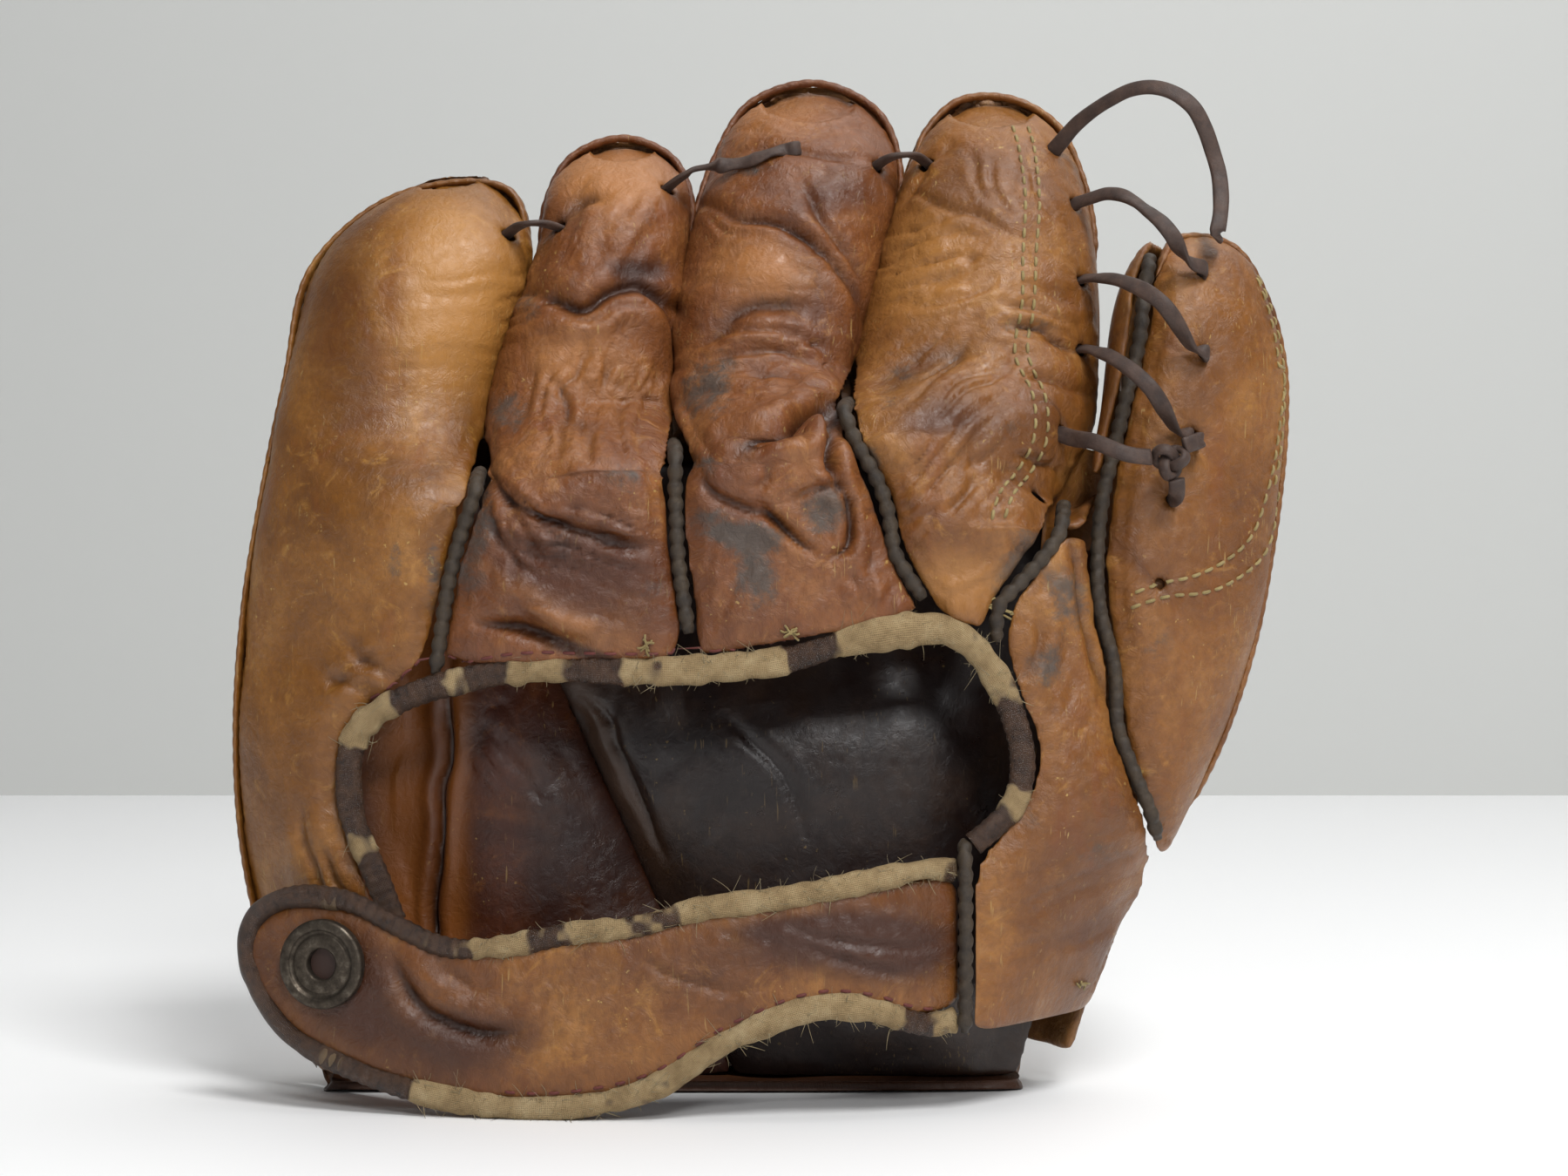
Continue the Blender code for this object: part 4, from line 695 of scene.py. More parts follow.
BACK_CREASES = [     # on the back-of-hand sheet
    (2.4, 2.0, [(-65, 150), (-62, 144), (-56, 139), (-47, 135), (-37, 132), (-28, 130)]),
    (0.9, 1.2, [(-52, 141), (-40, 138), (-27, 134)]),
    (0.7, 1.1, [(-48, 131), (-38, 128), (-27, 125)]),
    (0.9, 1.2, [(-64, 142), (-62, 133), (-57, 127), (-51, 123)]),
    (0.7, 1.0, [(-60, 139), (-58, 132), (-53, 127)]),
    (3.6, 2.4, [(-66, 113), (-58, 112), (-50, 110), (-42, 108), (-34, 106)]),
    (-2.0, 3.4, [(-64, 126), (-57, 120), (-49, 116), (-41, 113)]),
    (5.0, 1.9, [(16, 163), (15, 156), (15, 150), (16, 146)]),
    (3.0, 1.6, [(16, 146), (19, 141), (20, 135), (19, 130), (15, 127)]),
    (1.9, 1.8, [(-19, 150), (-12, 143), (-6, 140), (1, 138), (6, 134), (11, 129)]),
    (1.6, 1.3, [(-1, 141), (2, 137), (7, 132), (11, 129)]),
    (1.4, 1.4, [(7, 141), (12, 144), (17, 145)]),
    (-2.0, 4.0, [(7, 152), (10, 150)]),
    (1.1, 1.5, [(-17, 156), (-9, 153), (-2, 151), (1, 147), (-1, 142)]),
    (1.2, 1.6, [(21, 157), (22, 148), (25, 141), (28, 134)]),
    (0.9, 1.3, [(19, 125), (23, 119), (24, 112)]),
    (1.0, 1.3, [(25, 131), (24, 122), (26, 114)]),
    (1.2, 1.5, [(58, 152), (64, 150), (70, 147)]),
    (0.9, 1.2, [(56, 147), (63, 145), (68, 143)]),
    (1.2, 1.8, [(56, 133), (60, 129), (64, 128)]),
    (1.8, 1.6, [(69, 139), (71, 131), (73, 120), (75, 110), (78, 99), (82, 88)]),
    (1.3, 2.2, [(57, 97), (62, 104), (64, 114)]),
    (1.4, 2.6, [(-97, 108), (-90, 103), (-82, 101)]),
    (1.3, 2.4, [(-103, 100), (-96, 99), (-90, 96)]),
    (1.6, 2.2, [(-102, 62), (-99, 54), (-94, 46)]),
    (1.4, 2.0, [(-107, 70), (-105, 58), (-100, 46)]),
]
STRAP_CREASES = [
    (2.6, 2.6, [(-86, 36), (-83, 30), (-77, 23), (-69, 19), (-58, 18)]),
    (1.2, 1.6, [(-80, 40), (-74, 33), (-66, 28)]),
    (0.9, 1.4, [(-30, 36), (-18, 30), (-4, 28)]),
    (0.8, 1.2, [(0, 46), (14, 40), (30, 38), (42, 40)]),
    (0.7, 1.2, [(6, 40), (20, 34), (36, 31)]),
]
# Wrinkle patches: (centre X, Z), (half size X, Z), angle of the wrinkles in degrees, spacing, depth.
FINGER_WRINKLES = [
    ((-39, 206), (13, 10), 60, 3.4, 0.9), ((-40, 163), (17, 17), 75, 3.6, 1.0),
    ((-56, 186), (8, 12), 20, 3.2, 0.5), ((-75, 180), (18, 24), 2, 6.0, 0.35),
    ((0, 198), (16, 9), 5, 3.6, 0.45), ((2, 174), (19, 10), 8, 3.2, 0.7), ((42, 197), (15, 13), 18, 3.2, 0.8),
    ((60, 212), (12, 12), -70, 4.0, 0.5), ((68, 180), (12, 14), -15, 3.6, 0.7),
    ((10, 232), (16, 6), -8, 3.2, 0.45), ((45, 170), (16, 14), 35, 4.2, 0.6),
]
BACK_WRINKLES = [
    ((-42, 134), (20, 9), -14, 3.0, 0.8), ((-45, 118), (18, 8), -20, 4.0, 0.5),
    ((-58, 135), (8, 16), -55, 3.2, 0.7), ((6, 148), (12, 8), 0, 2.6, 0.7),
    ((24, 122), (9, 14), 55, 3.2, 0.7), ((-8, 120), (12, 12), 70, 5.0, 0.35),
    ((42, 146), (14, 14), 48, 3.2, 0.8), ((64, 148), (9, 8), 12, 3.0, 0.8),
    ((48, 124), (10, 7), 20, 4.0, 0.5), ((66, 98), (10, 18), 70, 5.0, 0.6),
    ((-90, 100), (14, 9), 25, 5.0, 0.6), ((70, 50), (20, 20), 25, 5.0, 0.3),
]
# Grey-blue rubbed patches and pale or dark areas: (centre X, Z), (half size X, Z), amount.
FINGER_SCUFFS = [
    ((6, 236), (9, 4), 0.7), ((-41, 223), (7, 2), 0.5), ((-55, 187), (4, 5), 0.6), ((-60, 162), (5, 7), 0.7),
    ((-14, 166), (7, 6), 0.8), ((-10, 173), (5, 4), 0.6), ((3, 193), (8, 6), 0.45), ((62, 183), (7, 2), 0.6),
    ((58, 157), (4, 4), 0.6), ((34, 173), (6, 3), 0.5), ((-3, 219), (5, 2), 0.7), ((-28, 209), (2, 3), 0.6),
    ((30, 165), (4, 3), 0.4),
]
BACK_SCUFFS = [
    ((-2, 125), (6, 9), 1.0), ((-12, 136), (6, 4), 0.7), ((-3, 133), (9, 3), 0.9), ((14, 139), (6, 6), 1.0),
    ((-32, 147), (6, 4), 0.8), ((-46, 131), (4, 4), 0.8), ((25, 147), (3, 9), 0.9), ((62, 129), (7, 6), 0.9),
    ((56, 122), (5, 4), 0.8), ((-65, 139), (3, 9), 0.8), ((70, 118), (5, 8), 0.8), ((-68, 125), (4, 9), 0.7),
    ((65, 103), (5, 6), 0.8), ((-14, 149), (5, 4), 0.7), ((-77, 122), (2, 10), 0.7),
    ((-85, 127), (2, 6), 0.7), ((-26, 121), (4, 3), 0.5), ((90, 107), (5, 6), 0.5), ((60, 68), (5, 4), 0.5),
    ((90, 70), (4, 6), 0.5), ((78, 60), (6, 4), 0.5),
]
# Warm pale (positive) and deep dark (negative) areas, in the same form: the dye's own patches, and on the
# fingers and back also painted highlights on the fingers' bulges and tips and the little finger's lit band,
# and painted shade on that finger's shaded side and low on the index finger and the back of the hand.
FINGER_DYE_AND_PAINTED_LIGHT = [
    ((40, 196), (15, 16), 0.6), ((3, 196), (14, 9), 0.35), ((-40, 172), (12, 10), 0.5),
    ((44, 156), (12, 9), -0.6), ((-75, 190), (15, 26), 0.75), ((-98, 180), (11, 50), -0.6),
    ((-36, 218), (15, 9), 0.85), ((18, 215), (10, 6), -0.6), ((40, 165), (12, 9), -0.35),
    ((-30, 196), (9, 3), -0.6), ((0, 236), (18, 9), 0.6), ((50, 232), (12, 6), 0.35),
    ((100, 190), (7, 8), 0.2), ((10, 205), (6, 10), -0.3), ((0, 197), (12, 8), 0.35),
    ((-50, 175), (7, 7), 0.25), ((100, 130), (10, 22), 0.35),
]
BACK_DYE_AND_PAINTED_LIGHT = [
    ((-42, 124), (24, 14), -0.75), ((-10, 112), (22, 6), -0.35), ((-90, 140), (12, 25), 0.1),
    ((45, 122), (12, 8), 0.6), ((80, 45), (18, 14), -0.35), ((68, 132), (2.5, 8), 0.9),
    ((-104, 80), (6, 25), -0.3), ((20, 48), (26, 8), -0.7), ((-30, 22), (26, 8), 0.25),
    ((66, 40), (10, 14), -0.2),
]
STRAP_TONES = [
    ((22, 40), (26, 8), -0.95), ((32, 32), (12, 8), -0.5), ((-70, 16), (20, 9), -0.8),
    ((-95, 28), (12, 14), -0.9), ((-45, 10), (22, 5), 0.25), ((-20, 34), (30, 7), -0.35),
    ((10, 42), (20, 3), -0.5), ((-10, 16), (24, 5), 0.3), ((30, 26), (16, 5), 0.2),
]


def painted(uv, spots):
    """The sum of soft-edged oval spots at each (u, v)."""
    total = np.zeros(len(uv))
    for (cx, cz), (rx, rz), amount in spots:
        d = np.hypot((uv[:, 0] - cx) / rx, (uv[:, 1] - cz) / rz)
        total += amount * np.exp(-0.9 * d ** 3)
    return total


def crease_field(uv, strokes, warp):
    """Height in mm (negative in a groove) and the painted shading of each point: painted shade in a groove,
    painted highlight on its lips and along a raised ridge.
    """
    height, painted_shading = np.zeros(len(uv)), np.zeros(len(uv))
    for depth, width, points in strokes:
        pts = np.asarray(points, float)
        near = ((uv > pts.min(0) - 5 * width) & (uv < pts.max(0) + 5 * width)).all(1)
        if not near.any():
            continue
        d, where = stroke_distance(uv[near] + warp[near], points)
        ends = np.minimum(1, 3.2 * np.minimum(where, 1 - where) + 0.25)
        size = depth * ends
        # A raised ridge: lifted, with a painted highlight and rubbed wear along it.
        if depth < 0:
            height[near] -= size * np.exp(-(d / width) ** 2)
            painted_shading[near] -= 0.5 * np.exp(-(d / width) ** 2)
            continue
        # A groove: sunk, with painted shade in it and a faint painted highlight on its raised lips.
        groove = np.exp(-(d / (0.62 * width)) ** 2)
        lips = np.exp(-((d - 1.9 * width) / (1.1 * width)) ** 2)
        height[near] += size * (0.34 * lips - groove)
        painted_shading[near] += np.minimum(1, 0.30 * size) * groove - 0.10 * np.minimum(1, size / 2) * lips
    return height, painted_shading


def wrinkle_field(uv, patches, seed):
    """Height in mm of fine folds that run one way within each patch."""
    height = np.zeros(len(uv))
    for k, ((cx, cz), (rx, rz), degrees, spacing, depth) in enumerate(patches):
        d = np.hypot((uv[:, 0] - cx) / rx, (uv[:, 1] - cz) / rz)
        near = d < 1.9
        if not near.any():
            continue
        a = degrees * pi / 180
        q = uv[near] - (cx, cz)
        along, across = q @ (cos(a), sin(a)), q @ (-sin(a), cos(a))
        p = np.column_stack([along, across, np.full(len(q), 7.0 * k)])
        across = across + 2.0 * noise(p, (11, 9, 1), seed + k)
        p = np.column_stack([along, across, np.full(len(q), 7.0 * k)])
        fold = np.abs(noise(p, (spacing * 4.5, spacing * 0.95, 1), seed + 31 + k))
        fold = 0.75 * fold + 0.35 * np.abs(noise(p, (spacing * 2.2, spacing * 0.5, 1), seed + 77 + k))
        height[near] += 2.3 * depth * (np.minimum(fold * 1.8, 1.0) - 0.75) * np.exp(-0.8 * d[near] ** 4)
    return height


# ---------------------------------------------------------------- the leather panels

HOLES = []   # where laces go through leather, filled in once the laces' ends are known
FINGERS = ("little_finger_back", "ring_finger_back", "middle_finger_back", "index_finger_back", "thumb_back")


def centre_line(node):
    """Middle X of a finger's back at each height."""
    p = coords(NODES[node].data) / MM
    rows = [p[np.abs(p[:, 2] - level) < 9] for level in np.arange(p[:, 2].min() + 2, p[:, 2].max(), 6.0)]
    rows = [r for r in rows if len(r) > 3]
    return (np.array([r[:, 2].mean() for r in rows]),
            np.array([(r[:, 0].min() + r[:, 0].max()) / 2 for r in rows]))


CENTRES = {n: centre_line(n) for n in FINGERS}
KNUCKLES = 150.0   # the height where the stalls part


def outwards(p, n, own=None):
    """+1 on a panel's grain side, -1 on its flesh side."""
    middles = np.array([np.interp(p[:, 2], *CENTRES[k]) for k in FINGERS])
    pick = np.full(len(p), FINGERS.index(own)) if own else np.abs(p[:, 0] - middles).argmin(0)
    middle = np.choose(pick, middles)
    w = np.ones(len(p)) if own == "thumb_back" else fade(KNUCKLES - 8, KNUCKLES + 8, p[:, 2])
    flank = 0.4 * np.sign(p[:, 0]) * np.maximum(0, np.abs(p[:, 0]) - 60)
    depth = 4 + 9 * fade(170, 230, p[:, 2])
    sideways = (p[:, 0] - middle) * w + flank * (1 - w)
    away = np.column_stack([sideways, p[:, 1] - depth, np.minimum(0, p[:, 2] - 14) * 1.2])
    return np.where((away * n).sum(1) >= 0, 1.0, -1.0)


def swelling(p, amount, seed):
    """Soft lumps of old stuffing."""
    return amount * (0.7 * noise(p, 24, seed) + 0.3 * noise(p, 11, seed + 1))


def worn_panel(node, mat, lumps, own=None, back=False, voxel=0.9, pucker=0.35, extra=(), extra_wrinkles=(),
               sheet=None, plump=0.0, reach=1.3):
    """A leather piece made from a CAD panel, with everything the years did to it, plus painted shade in its
    creases, wrinkles, seams and lace holes and painted highlights on their lips; on the back, tone patches
    add painted light to the dye. `own` is the stall it belongs to, if not its own, and `back` says that it
    shows the creases of the back. `reach` carries its rim outwards."""
    o = refined(node, node + "_leather", voxel, 2 if voxel else 4)
    me = o.data
    p = coords(me) / MM
    n = normals(me)
    side = outwards(p, n, node if node in FINGERS else own)
    rim, way = rim_distance(node, p)
    grain_n = spread(me, n * side[:, None], rim > 2.2)
    outward = spread(me, way, (rim > 2.2) & (rim < 4.5))
    free = fade(0.6, 5.5, rim)
    height = swelling(p, lumps, 3) * free
    height += plump * fade(148, 164, p[:, 2]) * (1 - 0.7 * fade(0.3, 0.8, grain_n[:, 2]))
    painted_shading, scuff, tone = (np.zeros(len(p)) for _ in range(3))
    if back:
        facing = fade(0.05, -0.35, grain_n[:, 1])
        f_uv, b_uv = seen_on_sheet(p, FINGER_SHEET), seen_on_sheet(p, BACK_SHEET)
        warp = np.column_stack([noise(p, 9, 11), noise(p, 9, 12)]) * 0.9
        upper = fade(152, 160, p[:, 2])
        for uv, creases, wrinkles, share, seed in (
                (f_uv, FINGER_CREASES, FINGER_WRINKLES, fade(146, 153, p[:, 2]), 40),
                (b_uv, BACK_CREASES, BACK_WRINKLES, fade(168, 160, p[:, 2]), 90)):
            h, m = crease_field(uv, creases, warp)
            height += h * facing * (0.35 + 0.65 * free) * share
            painted_shading += m * facing * share
            wr = wrinkle_field(uv, wrinkles, seed) * facing * free * share
            height += wr
            # painted shade in the wrinkles' grooves, a faint painted highlight on their crests
            painted_shading -= 0.30 * np.minimum(wr, 0.15)
        scuff = (painted(f_uv, FINGER_SCUFFS) * upper + painted(b_uv, BACK_SCUFFS) * (1 - upper)) * facing
        # tone: the dye's own patches, with painted highlights and painted shade from the two tables
        tone = painted(f_uv, FINGER_DYE_AND_PAINTED_LIGHT) * upper + painted(b_uv, BACK_DYE_AND_PAINTED_LIGHT) * (1 - upper)
    if len(extra) or len(extra_wrinkles):
        uv = p[:, [0, 2]] if sheet is None else seen_on_sheet(p, sheet)
        warp = np.column_stack([noise(p, 9, 21), noise(p, 9, 22)])
        h, m = crease_field(uv, extra, warp)
        wr = wrinkle_field(uv, extra_wrinkles, 60) * free
        height += h * (0.35 + 0.65 * free) + wr
        # painted shade in these creases and wrinkles, painted highlight on their lips and crests
        painted_shading += m - 0.35 * wr
    # seams draw the leather in, with a pucker at each stitch
    along = p[:, 2] + 0.6 * p[:, 0]
    stitched = 0.5 * np.sin(2 * pi * along / STITCH_PITCH) * fade(0.2, 1.6, rim)
    height -= pucker * fade(6.0, 0.5, rim) * (0.9 + stitched)
    # painted shade along the seams, left off where the leather faces up to the light
    painted_shading += 0.30 * fade(2.0, 0.2, rim) * (1 - fade(0.2, 0.6, grain_n[:, 2]))
    for hole in HOLES:
        d = np.linalg.norm(p - hole, axis=1)
        height -= 0.9 * np.exp(-(d / 2.6) ** 2)
        # painted shade round each lace hole
        painted_shading += 1.0 * np.exp(-(d / 2.3) ** 4)
    if back:
        reach = np.where(grain_n[:, 1] < -0.4, 2.0, np.where(grain_n[:, 2] > 0.5, 0.9, reach))
    moved = p + grain_n * height[:, None] + outward * (reach * fade(4.5, 0.6, rim))[:, None]
    moved = relaxed(me, moved, 0.8 * fade(3.0, 0.8, rim))
    moved[:, 2] = np.maximum(moved[:, 2], TABLE_GAP)
    set_coords(me, moved * MM)
    put_attribute(me, "rest", p)
    put_attribute(me, "crease", np.clip(painted_shading, -1, 1.2))
    put_attribute(me, "scuff", np.clip(scuff, 0, 1.1))
    put_attribute(me, "tone", np.clip(tone, -1, 1))
    dress(o, mat)
    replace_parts(o, node)
    return o


PALM_CREASES = [
    (2.2, 2.6, [(-70, 120), (-40, 112), (-8, 104), (24, 88), (44, 66)]),
    (1.6, 2.2, [(-104, 96), (-74, 90), (-40, 80), (-10, 62)]),
    (1.4, 2.0, [(56, 140), (62, 118), (60, 92), (52, 70)]),
    (1.6, 2.0, [(-112, 160), (-92, 158), (-68, 162)]), (1.6, 2.0, [(-62, 172), (-42, 170), (-22, 174)]),
    (1.6, 2.0, [(-18, 180), (4, 178), (24, 184)]), (1.6, 2.0, [(28, 176), (52, 172), (80, 178)]),
    (1.2, 1.6, [(-104, 192), (-84, 190), (-62, 194)]), (1.2, 1.6, [(-52, 204), (-36, 202), (-20, 206)]),
    (1.2, 1.6, [(-8, 214), (12, 212), (30, 216)]), (1.2, 1.6, [(36, 208), (56, 206), (80, 210)]),
]
PALM_WRINKLES = [((30, 106), (40, 40), 20, 7.0, 0.18), ((-60, 60), (40, 40), 10, 7.0, 0.18),
                 ((-88, 176), (18, 20), 5, 5.0, 0.25), ((-40, 188), (16, 20), 5, 5.0, 0.25),
                 ((6, 196), (18, 22), 5, 5.0, 0.25), ((56, 190), (20, 22), 8, 5.0, 0.25)]


THUMB_CREASES = [(1.4, 2.0, [(90, 150), (106, 146), (124, 150)]),
                 (1.2, 1.8, [(94, 110), (108, 108), (120, 112)])]
# Each outer piece: leather, lumpiness, the body it rides (none for those baked in place at the end), and the
# rest.
PANELS = {
    "little_finger_back": ("faded_leather", 0.5, GLOVE, dict(back=True, plump=1.6)),
    "ring_finger_back": ("russet_leather", 1.1, GLOVE, dict(back=True, plump=1.6)),
    "middle_finger_back": ("russet_leather", 1.1, GLOVE, dict(back=True, plump=1.6)),
    "index_finger_back": ("saddle_leather", 0.8, GLOVE, dict(back=True, plump=1.6)),
    "thumb_back": ("saddle_leather", 0.4, THUMB, dict(back=True)),
    "thumb_side_back": ("saddle_leather", 0.7, None, dict(back=True)),
    "palm_shell": ("palm_leather", 1.0, GLOVE, dict(extra=PALM_CREASES, extra_wrinkles=PALM_WRINKLES,
                                                    voxel=None, plump=1.6)),
    "thumb_front": ("palm_leather", 0.8, THUMB, dict(own="thumb_back", extra=THUMB_CREASES)),
    "thumb_inner_side": ("saddle_leather", 0.4, THUMB, dict(own="thumb_back")),
    "pocket_fold": ("palm_leather", 0.5, None, {}),
    "crotch_gusset": ("saddle_leather", 0.2, None, dict(voxel=0.7)),
}


def build_leather():
    made = {}
    for node, (mat, lumps, body, more) in PANELS.items():
        made[node] = worn_panel(node, mat, lumps, **more)
        if body:
            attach(made[node], body)
    palm = made["palm_shell"].data
    low = coords(palm) / MM
    # painted shade: the palm's front darkens towards the table, a painted contact shadow under its heel
    put_attribute(palm, "tone", -fade(16, 6, low[:, 2]) * fade(14, 4, low[:, 1]))
    return made


# ---------------------------------------------------------------- camera, light and stage

def build_stage():
    cam = bpy.data.objects.new("camera", bpy.data.cameras.new("camera"))
    bpy.context.scene.collection.objects.link(cam)
    cam.location = Vector(CAMERA_AT) * MM
    cam.rotation_euler = (pi / 2, 0, 0)
    cam.data.lens, cam.data.sensor_width = CAMERA_LENS, 36.0
    cam.data.clip_start, cam.data.clip_end = 0.01, 50
    bpy.context.scene.camera = cam

    def area(name, at, aim, size, power, colour=(1, 1, 1)):
        light = bpy.data.lights.new(name, "AREA")
        light.size, light.energy, light.color = size, power, colour
        o = bpy.data.objects.new(name, light)
        o.location = at
        o.rotation_euler = (Vector(aim) - Vector(at)).to_track_quat("-Z", "Y").to_euler()
        bpy.context.scene.collection.objects.link(o)

    middle = (0, 0, 0.12)
    area("key", (0.42, -0.80, 1.30), middle, 0.42, 16)
    area("front_fill", (0.30, -1.35, 0.95), middle, 0.30, 8)
    area("ceiling", (0.6, 0.35, 1.9), (0.2, 0.5, 0), 1.4, 15)

    world = bpy.data.worlds.new("world")
    bpy.context.scene.world = world
    world.use_nodes = True
    world.node_tree.nodes["Background"].inputs[0].default_value = (0.93, 0.96, 1.0, 1)
    world.node_tree.nodes["Background"].inputs[1].default_value = 0.20
    bpy.context.scene.view_settings.view_transform = "Standard"

    for name, corners, colour in (
            ("floor", [(-5, -4, 0), (5, -4, 0), (5, WALL_Y, 0), (-5, WALL_Y, 0)], (0.88, 0.88, 0.88)),
            ("wall", [(-5, WALL_Y, 0), (5, WALL_Y, 0), (5, WALL_Y, 4), (-5, WALL_Y, 4)],
             (0.60, 0.605, 0.585))):
        me = bpy.data.meshes.new(name)
        me.from_pydata(corners, [], [(0, 1, 2, 3)])
        o = new_object(name, me)
        me.materials.append(plain(name, colour, 0.6))


# ---------------------------------------------------------------- lining and pads

def build_lining():
    """The dark inner leather in two pieces, and the felt pads behind it."""
    lobes = [(2.6, 1.6, [(-75, 108), (-77, 96), (-77, 84), (-78, 66), (-80, 40), (-81, 20)]),
             (1.4, 2.0, [(-52, 100), (-46, 92), (-41, 82), (-35, 68), (-29, 54)]),
             (1.2, 1.6, [(-44, 96), (-36, 84), (-28, 66), (-25, 56)]),
             (0.9, 2.0, [(-66, 88), (-60, 80), (-54, 70)]),
             (0.8, 1.8, [(-10, 90), (4, 78), (10, 62)])]
    red = worn_panel("lining_little_side", "lining_red", 0.5, pucker=0.0, reach=2.0, extra=lobes,
                     extra_wrinkles=[((-60, 82), (14, 14), -50, 5.0, 0.4)])
    dark = worn_panel("lining_palm", "lining_dark", 0.9, pucker=0.0, reach=2.0, extra=lobes,
                      extra_wrinkles=[((-30, 86), (10, 14), -60, 5.0, 0.4)])
    p = coords(red.data) / MM
    tone = 0.75 * np.exp(-((p[:, 0] + 88) / 9) ** 2) + 0.55 * np.exp(-((p[:, 0] + 74) / 4) ** 2)
    tone -= 0.7 * fade(-66, -52, p[:, 0]) * fade(96, 80, p[:, 2])
    put_attribute(red.data, "tone", np.clip(tone, -1, 1))
    p = coords(dark.data) / MM
    edge = -38 + 0.45 * (75 - p[:, 2])
    tan = np.exp(-((p[:, 0] - edge - 3) / 4.5) ** 2) * fade(40, 60, p[:, 2])
    put_attribute(dark.data, "tone", np.clip(0.9 * tan, -1, 1))
    for o in (red, dark):
        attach(o, GLOVE)
    for node in ("heel_pad", "palm_pad", "little_side_pad", "thumb_pad"):
        pad = refined(node, node + "_felt", 1.6, 2, 4)
        p, n = coords(pad.data) / MM, normals(pad.data)
        p = p + n * (0.35 * noise(p, 5, 5) - 0.3)[:, None]
        p[:, 2] = np.maximum(p[:, 2], TABLE_GAP)
        set_coords(pad.data, p * MM)
        dress(pad, "felt_pad")
        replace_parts(pad, node)
        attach(pad, THUMB if node == "thumb_pad" else GLOVE)


# ---------------------------------------------------------------- welts, laces, binding and thread

def flat_line(node):
    """A flat lace's middle line, and the direction its flat side faces."""
    line, face = [], []
    for r in rings(node):
        q = r - r.mean(0)
        line.append(r.mean(0))
        face.append(np.linalg.svd(q, full_matrices=False)[2][1])
    for k in range(1, len(face)):
        if face[k] @ face[k - 1] < 0:
            face[k] = -face[k]
    line, face = np.array(line), np.array(face)
    if face.mean(0)[1] > 0:
        face = -face
    return line, face


def resampled(line, step, *others):
    """The line smoothed at an even step, with other per-point vectors carried along."""
    count = max(8, int(line_length(line) / step))
    both = smooth_line(np.hstack([line, *[o * 0.01 for o in others]]), count)
    return both[:, :3], *[both[:, 3 + 3 * k:6 + 3 * k] * 100 for k in range(len(others))]


def stitch_marks(run, depth, sharp):
    """Small dents in a cord at each stitch."""
    return -depth * (0.5 + 0.5 * np.cos(2 * pi * run / STITCH_PITCH)) ** sharp


WELTS = ("welt_little_ring", "welt_ring_middle", "welt_middle_index", "welt_index_crotch", "welt_strap_seam",
         "welt_thumb")


def build_welts():
    for node in WELTS:
        line = centreline(node, (0, 0, 1))
        down = (line[-1] - line[-2]) / np.linalg.norm(line[-1] - line[-2])
        up = (line[0] - line[1]) / np.linalg.norm(line[0] - line[1])
        line, = resampled(np.vstack([line[0] + up * 5 + (0, 3, 0), line, line[-1] + down * 3]), 0.5)
        run = np.arange(len(line)) * 0.5
        drift = np.column_stack([noise(line, 14, 8), 0 * run, 0 * run]) * 0.35
        ends = np.minimum(1, 0.55 + 0.25 * np.minimum(run, run[-1] - run))

        def bumps(a, run=run):
            return stitch_marks(run, 0.28, 3) + 0.12 * np.sin(run * 1.7 + 2 * a)
        o = sweep(node + "_cord", line + drift, (0, -1, 0), 1.75 * ends, 1.9 * ends, 14, 2.2, bumps=bumps)
        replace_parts(dress(o, "welt_leather"), node)
        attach(o, THUMB if node == "welt_thumb" else GLOVE)


# Turned seams between the back and front of each stall: leather, lowest Z on the left and right, half width.
TURNED_SEAMS = {
    "little_finger_back": ("faded_leather", 6, 166, 2.6),
    "ring_finger_back": ("russet_leather", 170, 172, 1.7),
    "middle_finger_back": ("russet_leather", 172, 176, 1.7),
    "index_finger_back": ("saddle_leather", 176, 206, 1.8),
    "thumb_back": ("saddle_leather", 192, 66, 1.8),
}


